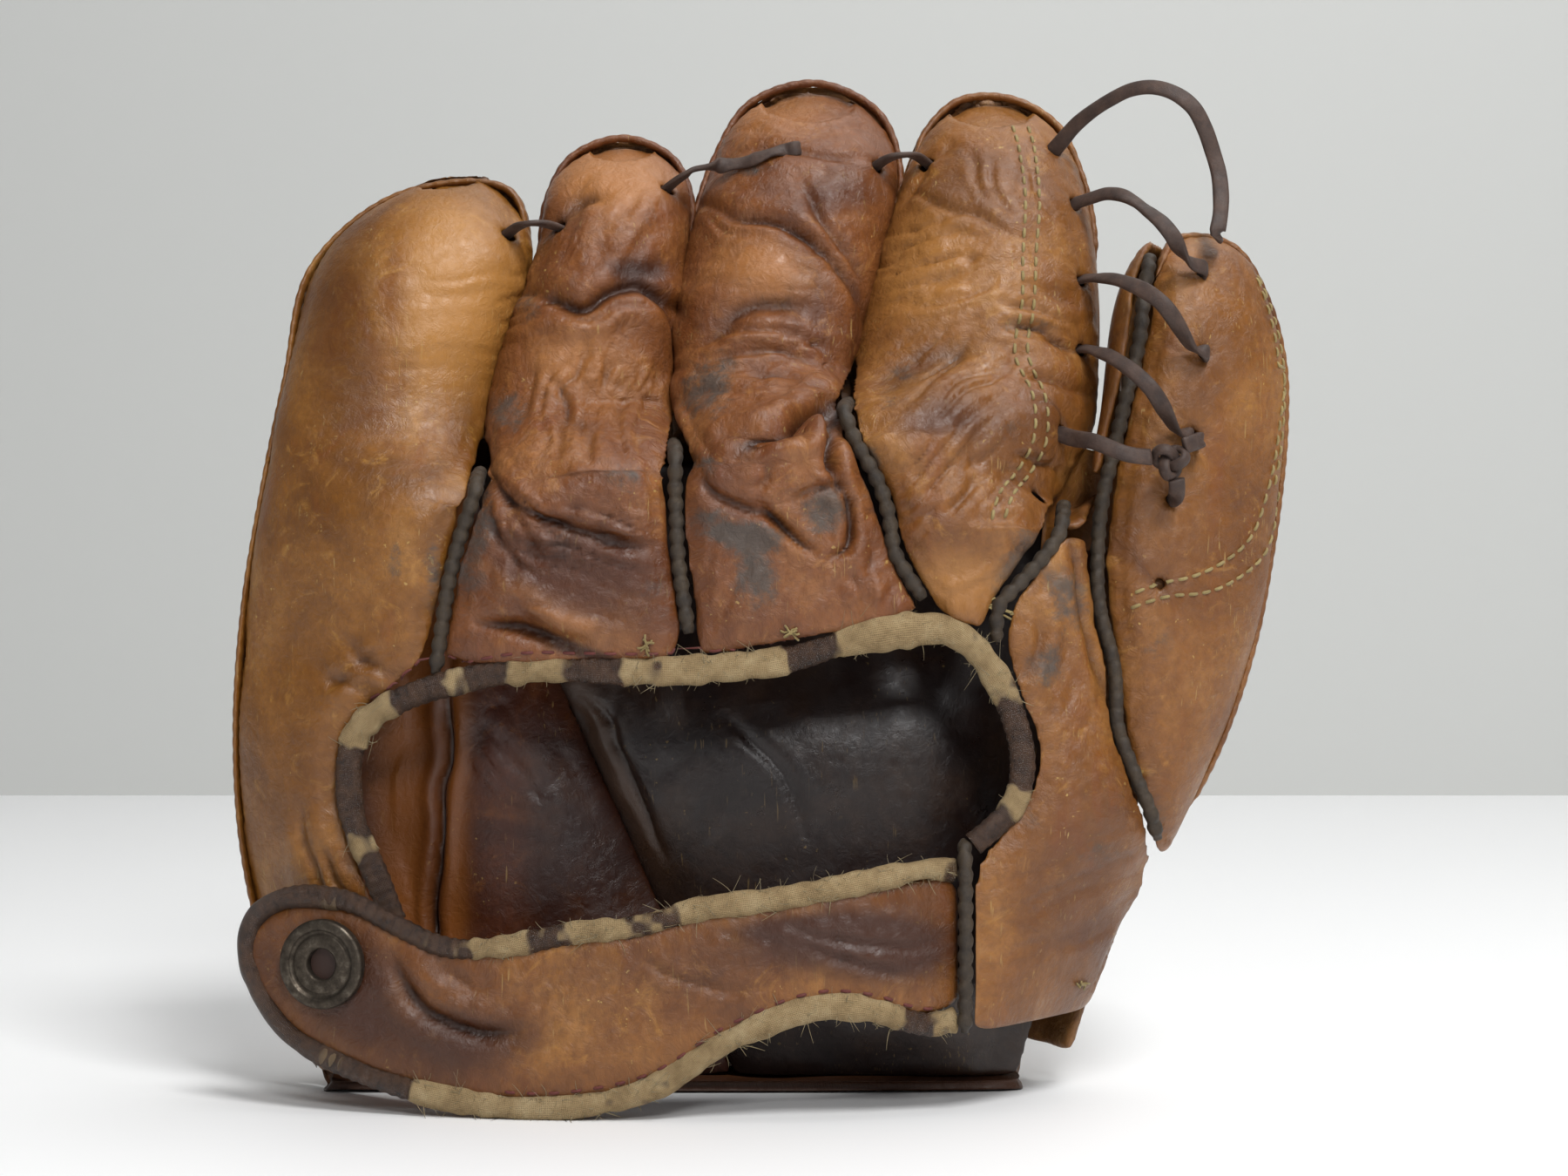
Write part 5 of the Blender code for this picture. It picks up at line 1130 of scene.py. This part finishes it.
def build_turned_seams():
    """The rolled edge where a stall's back is sewn to its front, up one side, over the tip and down."""
    for node, (mat, low_left, low_right, half_w) in TURNED_SEAMS.items():
        p = coords(NODES[node].data) / MM
        top = p[:, 2].max()
        sides = {-1: [], 1: []}
        for sign, low in ((-1, low_left), (1, low_right)):
            for level in np.append(np.arange(low, top - 10, 8.0), [top - 7, top - 3.5]):
                row = p[np.abs(p[:, 2] - level) < (8 if level < top - 10 else 2.0)]
                if len(row) > 1:
                    edge = tuple(row[(sign * row[:, 0] - 0.4 * np.abs(row[:, 2] - level)).argmax()])
                    if not sides[sign] or edge[2] > sides[sign][-1][2] + 1.5:
                        sides[sign].append(edge)
        left, right = np.array(sides[-1]), np.array(sides[1])
        over = p[p[:, 2] > top - 0.6].mean(0)
        over[1] = (left[-1, 1] + right[-1, 1]) / 2
        path = np.vstack([left, over, right[::-1]])
        for _ in range(2):
            path[1:-1, 1] = (path[:-2, 1] + path[1:-1, 1] * 2 + path[2:, 1]) / 4
        path = smooth_line(path, 12)
        centre = np.interp(path[:, 2], *CENTRES[node])
        out = np.column_stack([path[:, 0] - centre, 0 * centre, 1.6 * np.maximum(0, path[:, 2] - top + 14)])
        out /= np.linalg.norm(out, axis=1)[:, None]
        swell = -0.3 + (1.2 * fade(148, 164, path[:, 2]) if node != "thumb_back" else 0 * centre)
        path, out = resampled(path + out * swell[:, None], 0.7, out)
        run = np.arange(len(path)) * 0.7
        ends = np.clip(np.minimum(run, run[-1] - run) / 5, 0.15, 1)

        def bumps(a, run=run):
            return stitch_marks(run, 0.16, 2)
        wide = half_w * ends * (1 + 0.5 * fade(170, 120, path[:, 2]) * (node == "little_finger_back"))
        o = sweep(node + "_turned_seam", path, out, wide, ends, 14, 2.1, bumps=bumps)
        put_attribute(o.data, "tone", np.full(len(o.data.vertices), -0.25))
        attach(dress(o, mat), THUMB if node == "thumb_back" else GLOVE)


# Each lace rides one body; those given a range of X between glove and thumb are baked in place instead.
LACES = {"tip_lace_little_ring": GLOVE, "tip_lace_ring_middle": GLOVE, "tip_lace_middle_index": GLOVE,
         "web_lace_loop": (68, 110), "web_lace_top": (76, 98), "web_lace_upper": (77, 98),
         "web_lace_middle": (77, 98), "web_lace_lower": (72, 92),
         "web_lace_tail_up": THUMB, "web_lace_tail_down": THUMB}
# One lace runs on over the middle finger to a slot near its tip; the others stop where the CAD ones do.
LACE_OVER = {"tip_lace_ring_middle": [(-6, -16, 223.3), (-2, -16, 224.3), (2, -16, 225.6), (5, -16, 226.7),
                                      (7.5, -16, 227.3)]}
SLOT_AT = (7.0, -12.0, 227.0)


def build_laces(hide):
    """Flat rawhide laces, each from hole to hole, and the knot on the thumb."""
    for k, (node, link) in enumerate(LACES.items()):
        line, face = flat_line(node)
        if node in LACE_OVER:
            if (line[0] - line[-1]) @ (1, 0, 0) > 0:
                line, face = line[::-1], face[::-1]
            over, up = laid_on(hide, LACE_OVER[node], 0.9)
            keep = line[:, 0] < over[0, 0] - 8
            line = np.vstack([line[keep], over, over[-1:] + (1.6, 3, 0.3)])
            face = np.vstack([face[keep], up, up[-1:]])
        if node == "web_lace_loop":
            end = line[line[:, 0].argmax()]
            drop = end + (-0.6, 3.0, -10.0)
            last = line[:, 0].argmax() > len(line) / 2
            line = np.vstack([line, drop]) if last else np.vstack([drop, line])
            face = np.vstack([face, face[-1:]]) if last else np.vstack([face[:1], face])
        line, face = resampled(line, 0.5, face)
        run = np.arange(len(line)) * 0.5
        face = face + np.column_stack([0.10 * np.sin(run / 9 + k), 0 * run, 0.10 * np.cos(run / 7 + k)])
        wide = LACE_WIDTH / 2 * (1 + 0.06 * noise(line, 6, k))
        thick = LACE_THICK / 2 * (1 + 0.12 * noise(line, 4, k + 20))
        o = sweep(node + "_thong", line, face, wide, thick, 14, 3.2)
        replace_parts(dress(o, "rawhide_lace"), node)
        if isinstance(link, tuple):
            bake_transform(o)
        else:
            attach(o, link)
    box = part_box("web_lace_knot")
    centre = (np.array(box[0]) + np.array(box[1])) / 2 / MM
    t = np.linspace(0, 2 * pi, 90, endpoint=False)
    trefoil = np.sin(t) + 2 * np.sin(2 * t), -1.15 * np.sin(3 * t), np.cos(t) - 2 * np.cos(2 * t)
    knot = 1.25 * np.column_stack(trefoil)
    up = knot * (1, 0.2, 1) + (0, -3, 0)
    o = sweep("web_lace_knot_thong", centre + knot, up, 1.35, 0.8, 10, 3, closed=True)
    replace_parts(dress(o, "rawhide_lace"), "web_lace_knot")
    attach(o, THUMB)


# Which stretches of each binding show dark leather (1) or worn tan cloth (0), by (X, Z).
BINDING_WEAR = [
    ((-83, 40), 1), ((-87, 56), 1), ((-88, 62), 0.2), ((-89, 68), 1), ((-90, 80), 1), ((-89, 86), 0),
    ((-85, 91), 0), ((-82, 94), 1), ((-74, 97), 1), ((-71, 98), 0.1), ((-67, 100), 1), ((-62, 102), 1),
    ((-57, 104), 0), ((-50, 105), 0), ((-47, 104), 0.2), ((-43, 103), 1), ((-36, 102), 1), ((-31, 101), 0.1),
    ((-26, 101), 0.5), ((-18, 101), 0), ((-8, 101), 0.2), ((2, 103), 0), ((8, 104), 0.9), ((14, 106), 1),
    ((19, 108), 0.1), ((28, 111), 0), ((38, 113), 0), ((47, 110), 0.3), ((52, 104), 0), ((56, 97), 0.4),
    ((57, 90), 0.9), ((57, 78), 0.9), ((56, 72), 0), ((54, 68), 0.9), ((48, 62), 1),
]
STRAP_TOP_WEAR = [
    ((-100, 50), 0.8), ((-86, 46), 1), ((-72, 39), 0.7), ((-60, 38), 0), ((-48, 38), 0.6), ((-38, 39), 0.1),
    ((-25, 40), 0.5), ((-10, 42), 0.1), ((5, 46), 0), ((20, 50), 0.2), ((35, 53), 0.1), ((46, 55), 0.5),
]
HEM_WEAR = [
    ((-100, 20), 1), ((-88, 14), 0.8), ((-70, 6), 0.2), ((-55, 3), 0.1), ((-30, 4), 0.3), ((-10, 10), 0),
    ((10, 17), 0.2), ((25, 20), 0.1), ((36, 19), 0.8), ((40, 18), 0.1), ((46, 17), 0.2),
]


def woven(tape, run, around):
    """The cloth's own coordinates: along the tape and round it."""
    across = np.tile(around, len(run))
    put_attribute(tape.data, "weave", np.column_stack([np.repeat(run, len(around)), across, 0 * across]))


def bound_edge(node, body, wear, half_w, half_t, forward, seed, puffed=None):
    """A folded tape over an edge: dark leather in some stretches, worn to tan cloth in others, which
    frays most near `puffed`."""
    step = 0.45
    line, = resampled(centreline(node, (-1, 0, 0)), step)
    seen = line[:, [0, 2]]
    at, value = np.array([w[0] for w in wear], float), np.array([w[1] for w in wear], float)
    far = np.linalg.norm(seen[:, None] - at[None], axis=2)
    weight = np.exp(-(far / 4.0) ** 2) + 1e-9
    worn = (weight * value).sum(1) / weight.sum(1)
    worn = np.where(far.min(1) > 12, value[far.argmin(1)], worn)
    cloth = 1 - fade(0.35, 0.65, worn)
    run = np.arange(len(line)) * step
    if puffed:
        cloth = cloth * (1 + 3.0 * np.exp(-((seen - puffed) ** 2).sum(1) / 150))
    ragged = 0.5 * noise(line, 3.0, seed) * np.minimum(cloth, 1.0) + 0.35 * noise(line, 9, seed + 1)
    ribs = 0.12 * np.sin(2 * pi * run / 2.4) * np.maximum(0, 1 - cloth)
    wide = half_w + 0.35 * cloth + ragged + ribs
    thick = half_t + 0.3 * cloth + ribs + 0.25 * noise(line, 5, seed + 2)
    o = sweep(node + "_tape", line - (0, forward, 0), (0, -1, 0), wide, thick, TAPE_SIDES, 2.3)
    rough = 0.22 * noise(coords(o.data) / MM, 2.2, seed + 3)
    put_attribute(o.data, "worn", np.repeat(worn, TAPE_SIDES) + rough)
    woven(o, run, np.linspace(0, 2 * pi, TAPE_SIDES, endpoint=False) * half_w)
    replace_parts(dress(o, "binding_leather"), node)
    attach(o, body)
    frayed(node + "_fray", line, cloth, half_w, half_t, body, seed)
    return line


def frayed(name, line, cloth, half_w, half_t, body, seed):
    """Loose fibres standing off the worn cloth, mostly along its edges."""
    gen = np.random.default_rng(100 + seed)
    t, b, n = frames(line, (0, -1, 0))
    verts, faces = [], []
    for _ in range(int(line_length(line) * FIBRES_PER_MM)):
        i = int(gen.integers(2, len(line) - 2))
        if gen.random() > cloth[i] * 0.9:
            continue
        a = gen.choice([-1, 1]) * gen.uniform(0.1, 1.35)
        root = line[i] + b[i] * half_w * sin(a) + n[i] * half_t * cos(a)
        go = b[i] * sin(a) * 0.8 + n[i] * cos(a) * 0.8 + t[i] * gen.normal(0, 1.0)
        go /= np.linalg.norm(go)
        curl = gen.normal(0, 0.5, 3)
        length, radius = gen.uniform(0.8, 3.6), gen.uniform(0.08, 0.16)
        path = [root + go * length * s + curl * length * s * s for s in np.linspace(0, 1, 5)]
        ft, fb, fn = frames(path, (0.3, -0.8, 0.5))
        k = len(verts)
        for j, q in enumerate(path):
            r = radius * (1 - 0.7 * j / 4)
            verts += [q + r * (fb[j] * cos(c) + fn[j] * sin(c)) for c in (0, 2.09, 4.19)]
        faces += [(k + 3 * j + c, k + 3 * j + (c + 1) % 3, k + 3 * j + 3 + (c + 1) % 3, k + 3 * j + 3 + c)
                  for j in range(4) for c in range(3)]
        faces += [(k, k + 2, k + 1), (k + 12, k + 13, k + 14)]
    if verts:
        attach(dress(mesh_from(name, verts, faces), "cotton_fray"), body)


def stitches(name, line, tree, mat, body, length=2.7, pitch=STITCH_PITCH, radius=0.42, lift=0.25):
    """A row of separate stitches laid on the leather along a line, each end pulled into its hole."""
    step = 0.3
    count = int(line_length(line) / step)
    line = smooth_line(line, count)
    half = int(round(length / 2 / step))
    pieces = []
    for c in range(half + 1, count - half - 1, int(round(pitch / step))):
        pts, up = laid_on(tree, line[c - half:c + half + 1:2], lift)
        s = np.linspace(-1, 1, len(pts))
        pts = pts - up * (0.75 * np.abs(s) ** 3)[:, None]
        r = radius * np.sqrt(np.maximum(0.12, 1 - np.abs(s) ** 4))
        pieces.append(sweep("stitch", pts, up.mean(0), r, r * 0.8, 8, 2))
    o = dress(joined(name, pieces), mat)
    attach(o, body)
    return o


def build_web_skin():
    """The soft tan leather that closes the crotch between index finger and thumb."""
    verts, faces = [], []
    rows, across = 26, 20
    for side, back in ((0, 0.0), (1, 1.4)):
        for i in range(rows + 1):
            v = i / rows
            for j in range(across + 1):
                t = j / across
                x = 65.5 + 2.5 * v + (25 - 1.5 * v) * t
                z = 130 + (33 - 9 * sin(pi * t)) * v
                y = -8 + back + 9 * sin(pi * t) + 0.7 * sin(9 * t + 4 * v) * v
                verts.append((x, y, z))
    n, w = (rows + 1) * (across + 1), across + 1
    for i in range(rows):
        for j in range(across):
            a = i * w + j
            faces += [(a, a + 1, a + w + 1, a + w), (n + a, n + a + w, n + a + w + 1, n + a + 1)]
    rim = (list(range(across)) + [i * w + across for i in range(rows)]
           + [rows * w + j for j in range(across, 0, -1)] + [i * w for i in range(rows, 0, -1)])
    faces += [(a, n + a, n + b, b) for a, b in zip(rim, rim[1:] + rim[:1])]
    o = closed_mesh("web_skin", verts, faces)
    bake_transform(dress(o, "saddle_leather"))


EYELETS = {THUMB: [(93.8, 120.5), (95.9, 141.7)], GLOVE: [(61.7, 139.7)]}


def build_eyelets(hide):
    """Tan leather seen through the unused lace holes."""
    for body, holes in EYELETS.items():
        for k, (x, z) in enumerate(holes):
            at, up = laid_on(hide, [(x + 3.5, -20, z)], 0)
            at, up = at[0] - (3.5, 0, 0), up[0]
            profile = [(0.01, -0.3), (2.2, -0.3), (3.4, -0.6), (3.4, -1.2), (0.01, -1.2)]
            o = lathe(f"eyelet_{body}_{k}", profile, at - up * 1.6, up, 24)
            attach(dress(o, "palm_leather"), body)


def thread_knot(name, at, tree, body, seed):
    """A little tangle of thread ends left on the leather."""
    gen = np.random.default_rng(500 + seed)
    pieces = []
    for _ in range(4):
        a = gen.uniform(0, pi)
        d = np.array([cos(a), 0, sin(a)]) * gen.uniform(0.7, 1.6) * 1.5
        pts = np.array(at) + np.linspace(-1, 1, 7)[:, None] * d
        pts, up = laid_on(tree, pts, gen.uniform(0.3, 0.9))
        pts += gen.normal(0, 0.18, pts.shape)
        pieces.append(sweep("t", smooth_line(pts, 14), up.mean(0), 0.27, 0.27, 6, 2))
    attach(dress(joined(name, pieces), "waxed_thread"), body)


def lathe(name, profile, centre, axis, segments=96):
    """Turn (radius, height) pairs round an axis; heights run along the axis."""
    axis = np.array(axis, float) / np.linalg.norm(axis)
    b = np.cross(axis, (0, 0, 1.0))
    b /= np.linalg.norm(b)
    c = np.cross(axis, b)
    verts, faces = [], []
    for r, h in profile:
        for k in range(segments):
            a = 2 * pi * k / segments
            verts.append(np.array(centre) + axis * h + (b * cos(a) + c * sin(a)) * r)
    m = len(profile)
    for j in range(m):
        a0, b0 = j * segments, ((j + 1) % m) * segments
        faces += [(a0 + k, a0 + (k + 1) % segments, b0 + (k + 1) % segments, b0 + k) for k in range(segments)]
    return closed_mesh(name, verts, faces)


def facing_of(node):
    """The direction a flat disc's front faces, and the middle of that face, in mm."""
    me = NODES[node].data
    polys = [f for f in me.polygons if f.normal.y < -0.3]
    best = max(polys, key=lambda f: sum(g.area for g in polys if g.normal.dot(f.normal) > 0.995))
    same = [f for f in polys if f.normal.dot(best.normal) > 0.995]
    low, high = (np.array(c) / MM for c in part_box(node))
    top = max(best.normal.dot(me.vertices[i].co) for f in same for i in f.vertices) / MM
    n = np.array(best.normal)
    middle = (low + high) / 2
    return n, middle + n * (top - middle @ n)


def build_snap():
    n, face = facing_of("snap_cap")
    rim = [(3.6, -3.2), (3.6, -0.9), (4.1, -0.55), (6.6, -0.55), (6.9, -0.75), (7.3, -0.8), (7.7, -0.6),
           (8.1, 0.0), (9.3, 0.05), (9.9, -0.1), (10.25, -0.45), (10.35, -0.95), (10.35, -2.2), (9.6, -2.6),
           (5.0, -3.2)]
    fine = []
    for k, (r, h) in enumerate(rim):
        r2, h2 = rim[(k + 1) % len(rim)]
        fine += [(r, h), (r + (r2 - r) / 2, h + (h2 - h) / 2)]
    cap = dress(lathe("snap_cap_disc", fine, face, n), "snap_metal")
    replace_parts(cap, "snap_cap")
    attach(cap, STRAP)
    for node in ("snap_socket", "snap_stud"):
        for slot in NODES[node].material_slots:
            slot.material = MAT["snap_rust"]


STRAP_END = [(-98, 49), (-106, 49.5), (-112.5, 48.5), (-118, 45), (-120.5, 40), (-120.5, 34), (-117, 26),
             (-111, 18.5), (-103, 13.5), (-94, 10)]


def strap_curve(x):
    """The strap's depth at each X: it wraps the wrist as part of an ellipse."""
    return -5.3 - 34 * (1 - min(1.0, (x + 1.5) / -132) ** 2) ** 0.5


def build_strap_end():
    """The tape round the strap's rounded end, dark with rubbed tan edges."""
    step, sides = 0.5, 18
    path, = resampled([(x, strap_curve(x) + 1.3, z) for x, z in STRAP_END], step)
    wide, thick = 2.5 + 0.2 * noise(path, 4, 3), 2.0 + 0.15 * noise(path, 3, 5)
    o = sweep("strap_end_tape", path, (-0.35, -1, 0), wide, thick, sides, 2.3)
    put_attribute(o.data, "worn", np.repeat(0.75 + 0.5 * noise(path, 9, 12), sides))
    woven(o, np.arange(len(path)) * step, np.linspace(0, 15, sides))
    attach(dress(o, "binding_leather"), STRAP)


def build_strap():
    """The strap with its dark lining, and the small tab under its end."""
    o = worn_panel("wrist_strap", "strap_leather", 0.7, extra=STRAP_CREASES, sheet=BACK_SHEET, reach=2.2,
                   extra_wrinkles=[((10, 34), (26, 10), 8, 3.6, 0.35), ((-56, 26), (24, 12), 15, 4.0, 0.35)])
    uv = seen_on_sheet(coords(o.data) / MM, BACK_SHEET)
    put_attribute(o.data, "tone", np.clip(painted(uv, STRAP_TONES), -1, 1))
    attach(o, STRAP)
    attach(worn_panel("strap_lining", "lining_dark", 0.2, pucker=0.0, reach=3.2), STRAP)
    tab = refined("stud_tab", "stud_tab_hide", 0.8)
    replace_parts(dress(tab, "welt_leather"), "stud_tab")
    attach(tab, GLOVE)
    return o


build_stage()
for lace in LACES:
    ends = flat_line(lace)[0]
    HOLES += [ends[0], ends[-1]]
HOLES.append(np.array(SLOT_AT))
LEATHER = build_leather()
build_lining()
STRAP_LEATHER = build_strap()
build_snap()
build_welts()
build_turned_seams()
HIDE = surface_of(*LEATHER.values())
build_laces(HIDE)
build_eyelets(HIDE)
build_web_skin()
opening = bound_edge("opening_binding", GLOVE, BINDING_WEAR, 2.9, 1.7, 0.5, 1, (30, 110))
bound_edge("strap_top_binding", STRAP, STRAP_TOP_WEAR, 2.3, 1.8, 0.2, 2)
build_strap_end()
hem = bound_edge("strap_hem_binding", STRAP, HEM_WEAR, 2.7, 2.0, 0.2, 3)
for node, body in (("index_stitching_outer", GLOVE), ("index_stitching_inner", GLOVE),
                   ("thumb_stitching_outer", THUMB), ("thumb_stitching_inner", THUMB)):
    row = stitches(node + "_thread", centreline(node, (0, 0, 1)), HIDE, "waxed_thread", body)
    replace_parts(row, node)
above_opening = opening[(opening[:, 2] > 90) & (opening[:, 0] < 12)] + (0, 0, 4.0)
stitches("opening_hem_thread", above_opening, HIDE, "red_thread", GLOVE, 3.4, 4.8, 0.4, 0.15)
above_hem = hem[(hem[:, 0] > -60) & (hem[:, 0] < 40)] + (0, 0, 3.6)
stitches("strap_hem_thread", above_hem, surface_of(STRAP_LEATHER), "red_thread", STRAP, 3.2, 5.2, 0.42, 0.15)
for k, (x, z) in enumerate([(-27, 108), (-15, 105), (6, 111), (-86, 12), (75, 27), (54, 116), (-5, 106)]):
    thread_knot(f"loose_thread_{k}", (x, -27, z), HIDE, GLOVE, k)
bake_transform(LEATHER["thumb_side_back"])
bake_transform(LEATHER["pocket_fold"])
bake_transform(LEATHER["crotch_gusset"])
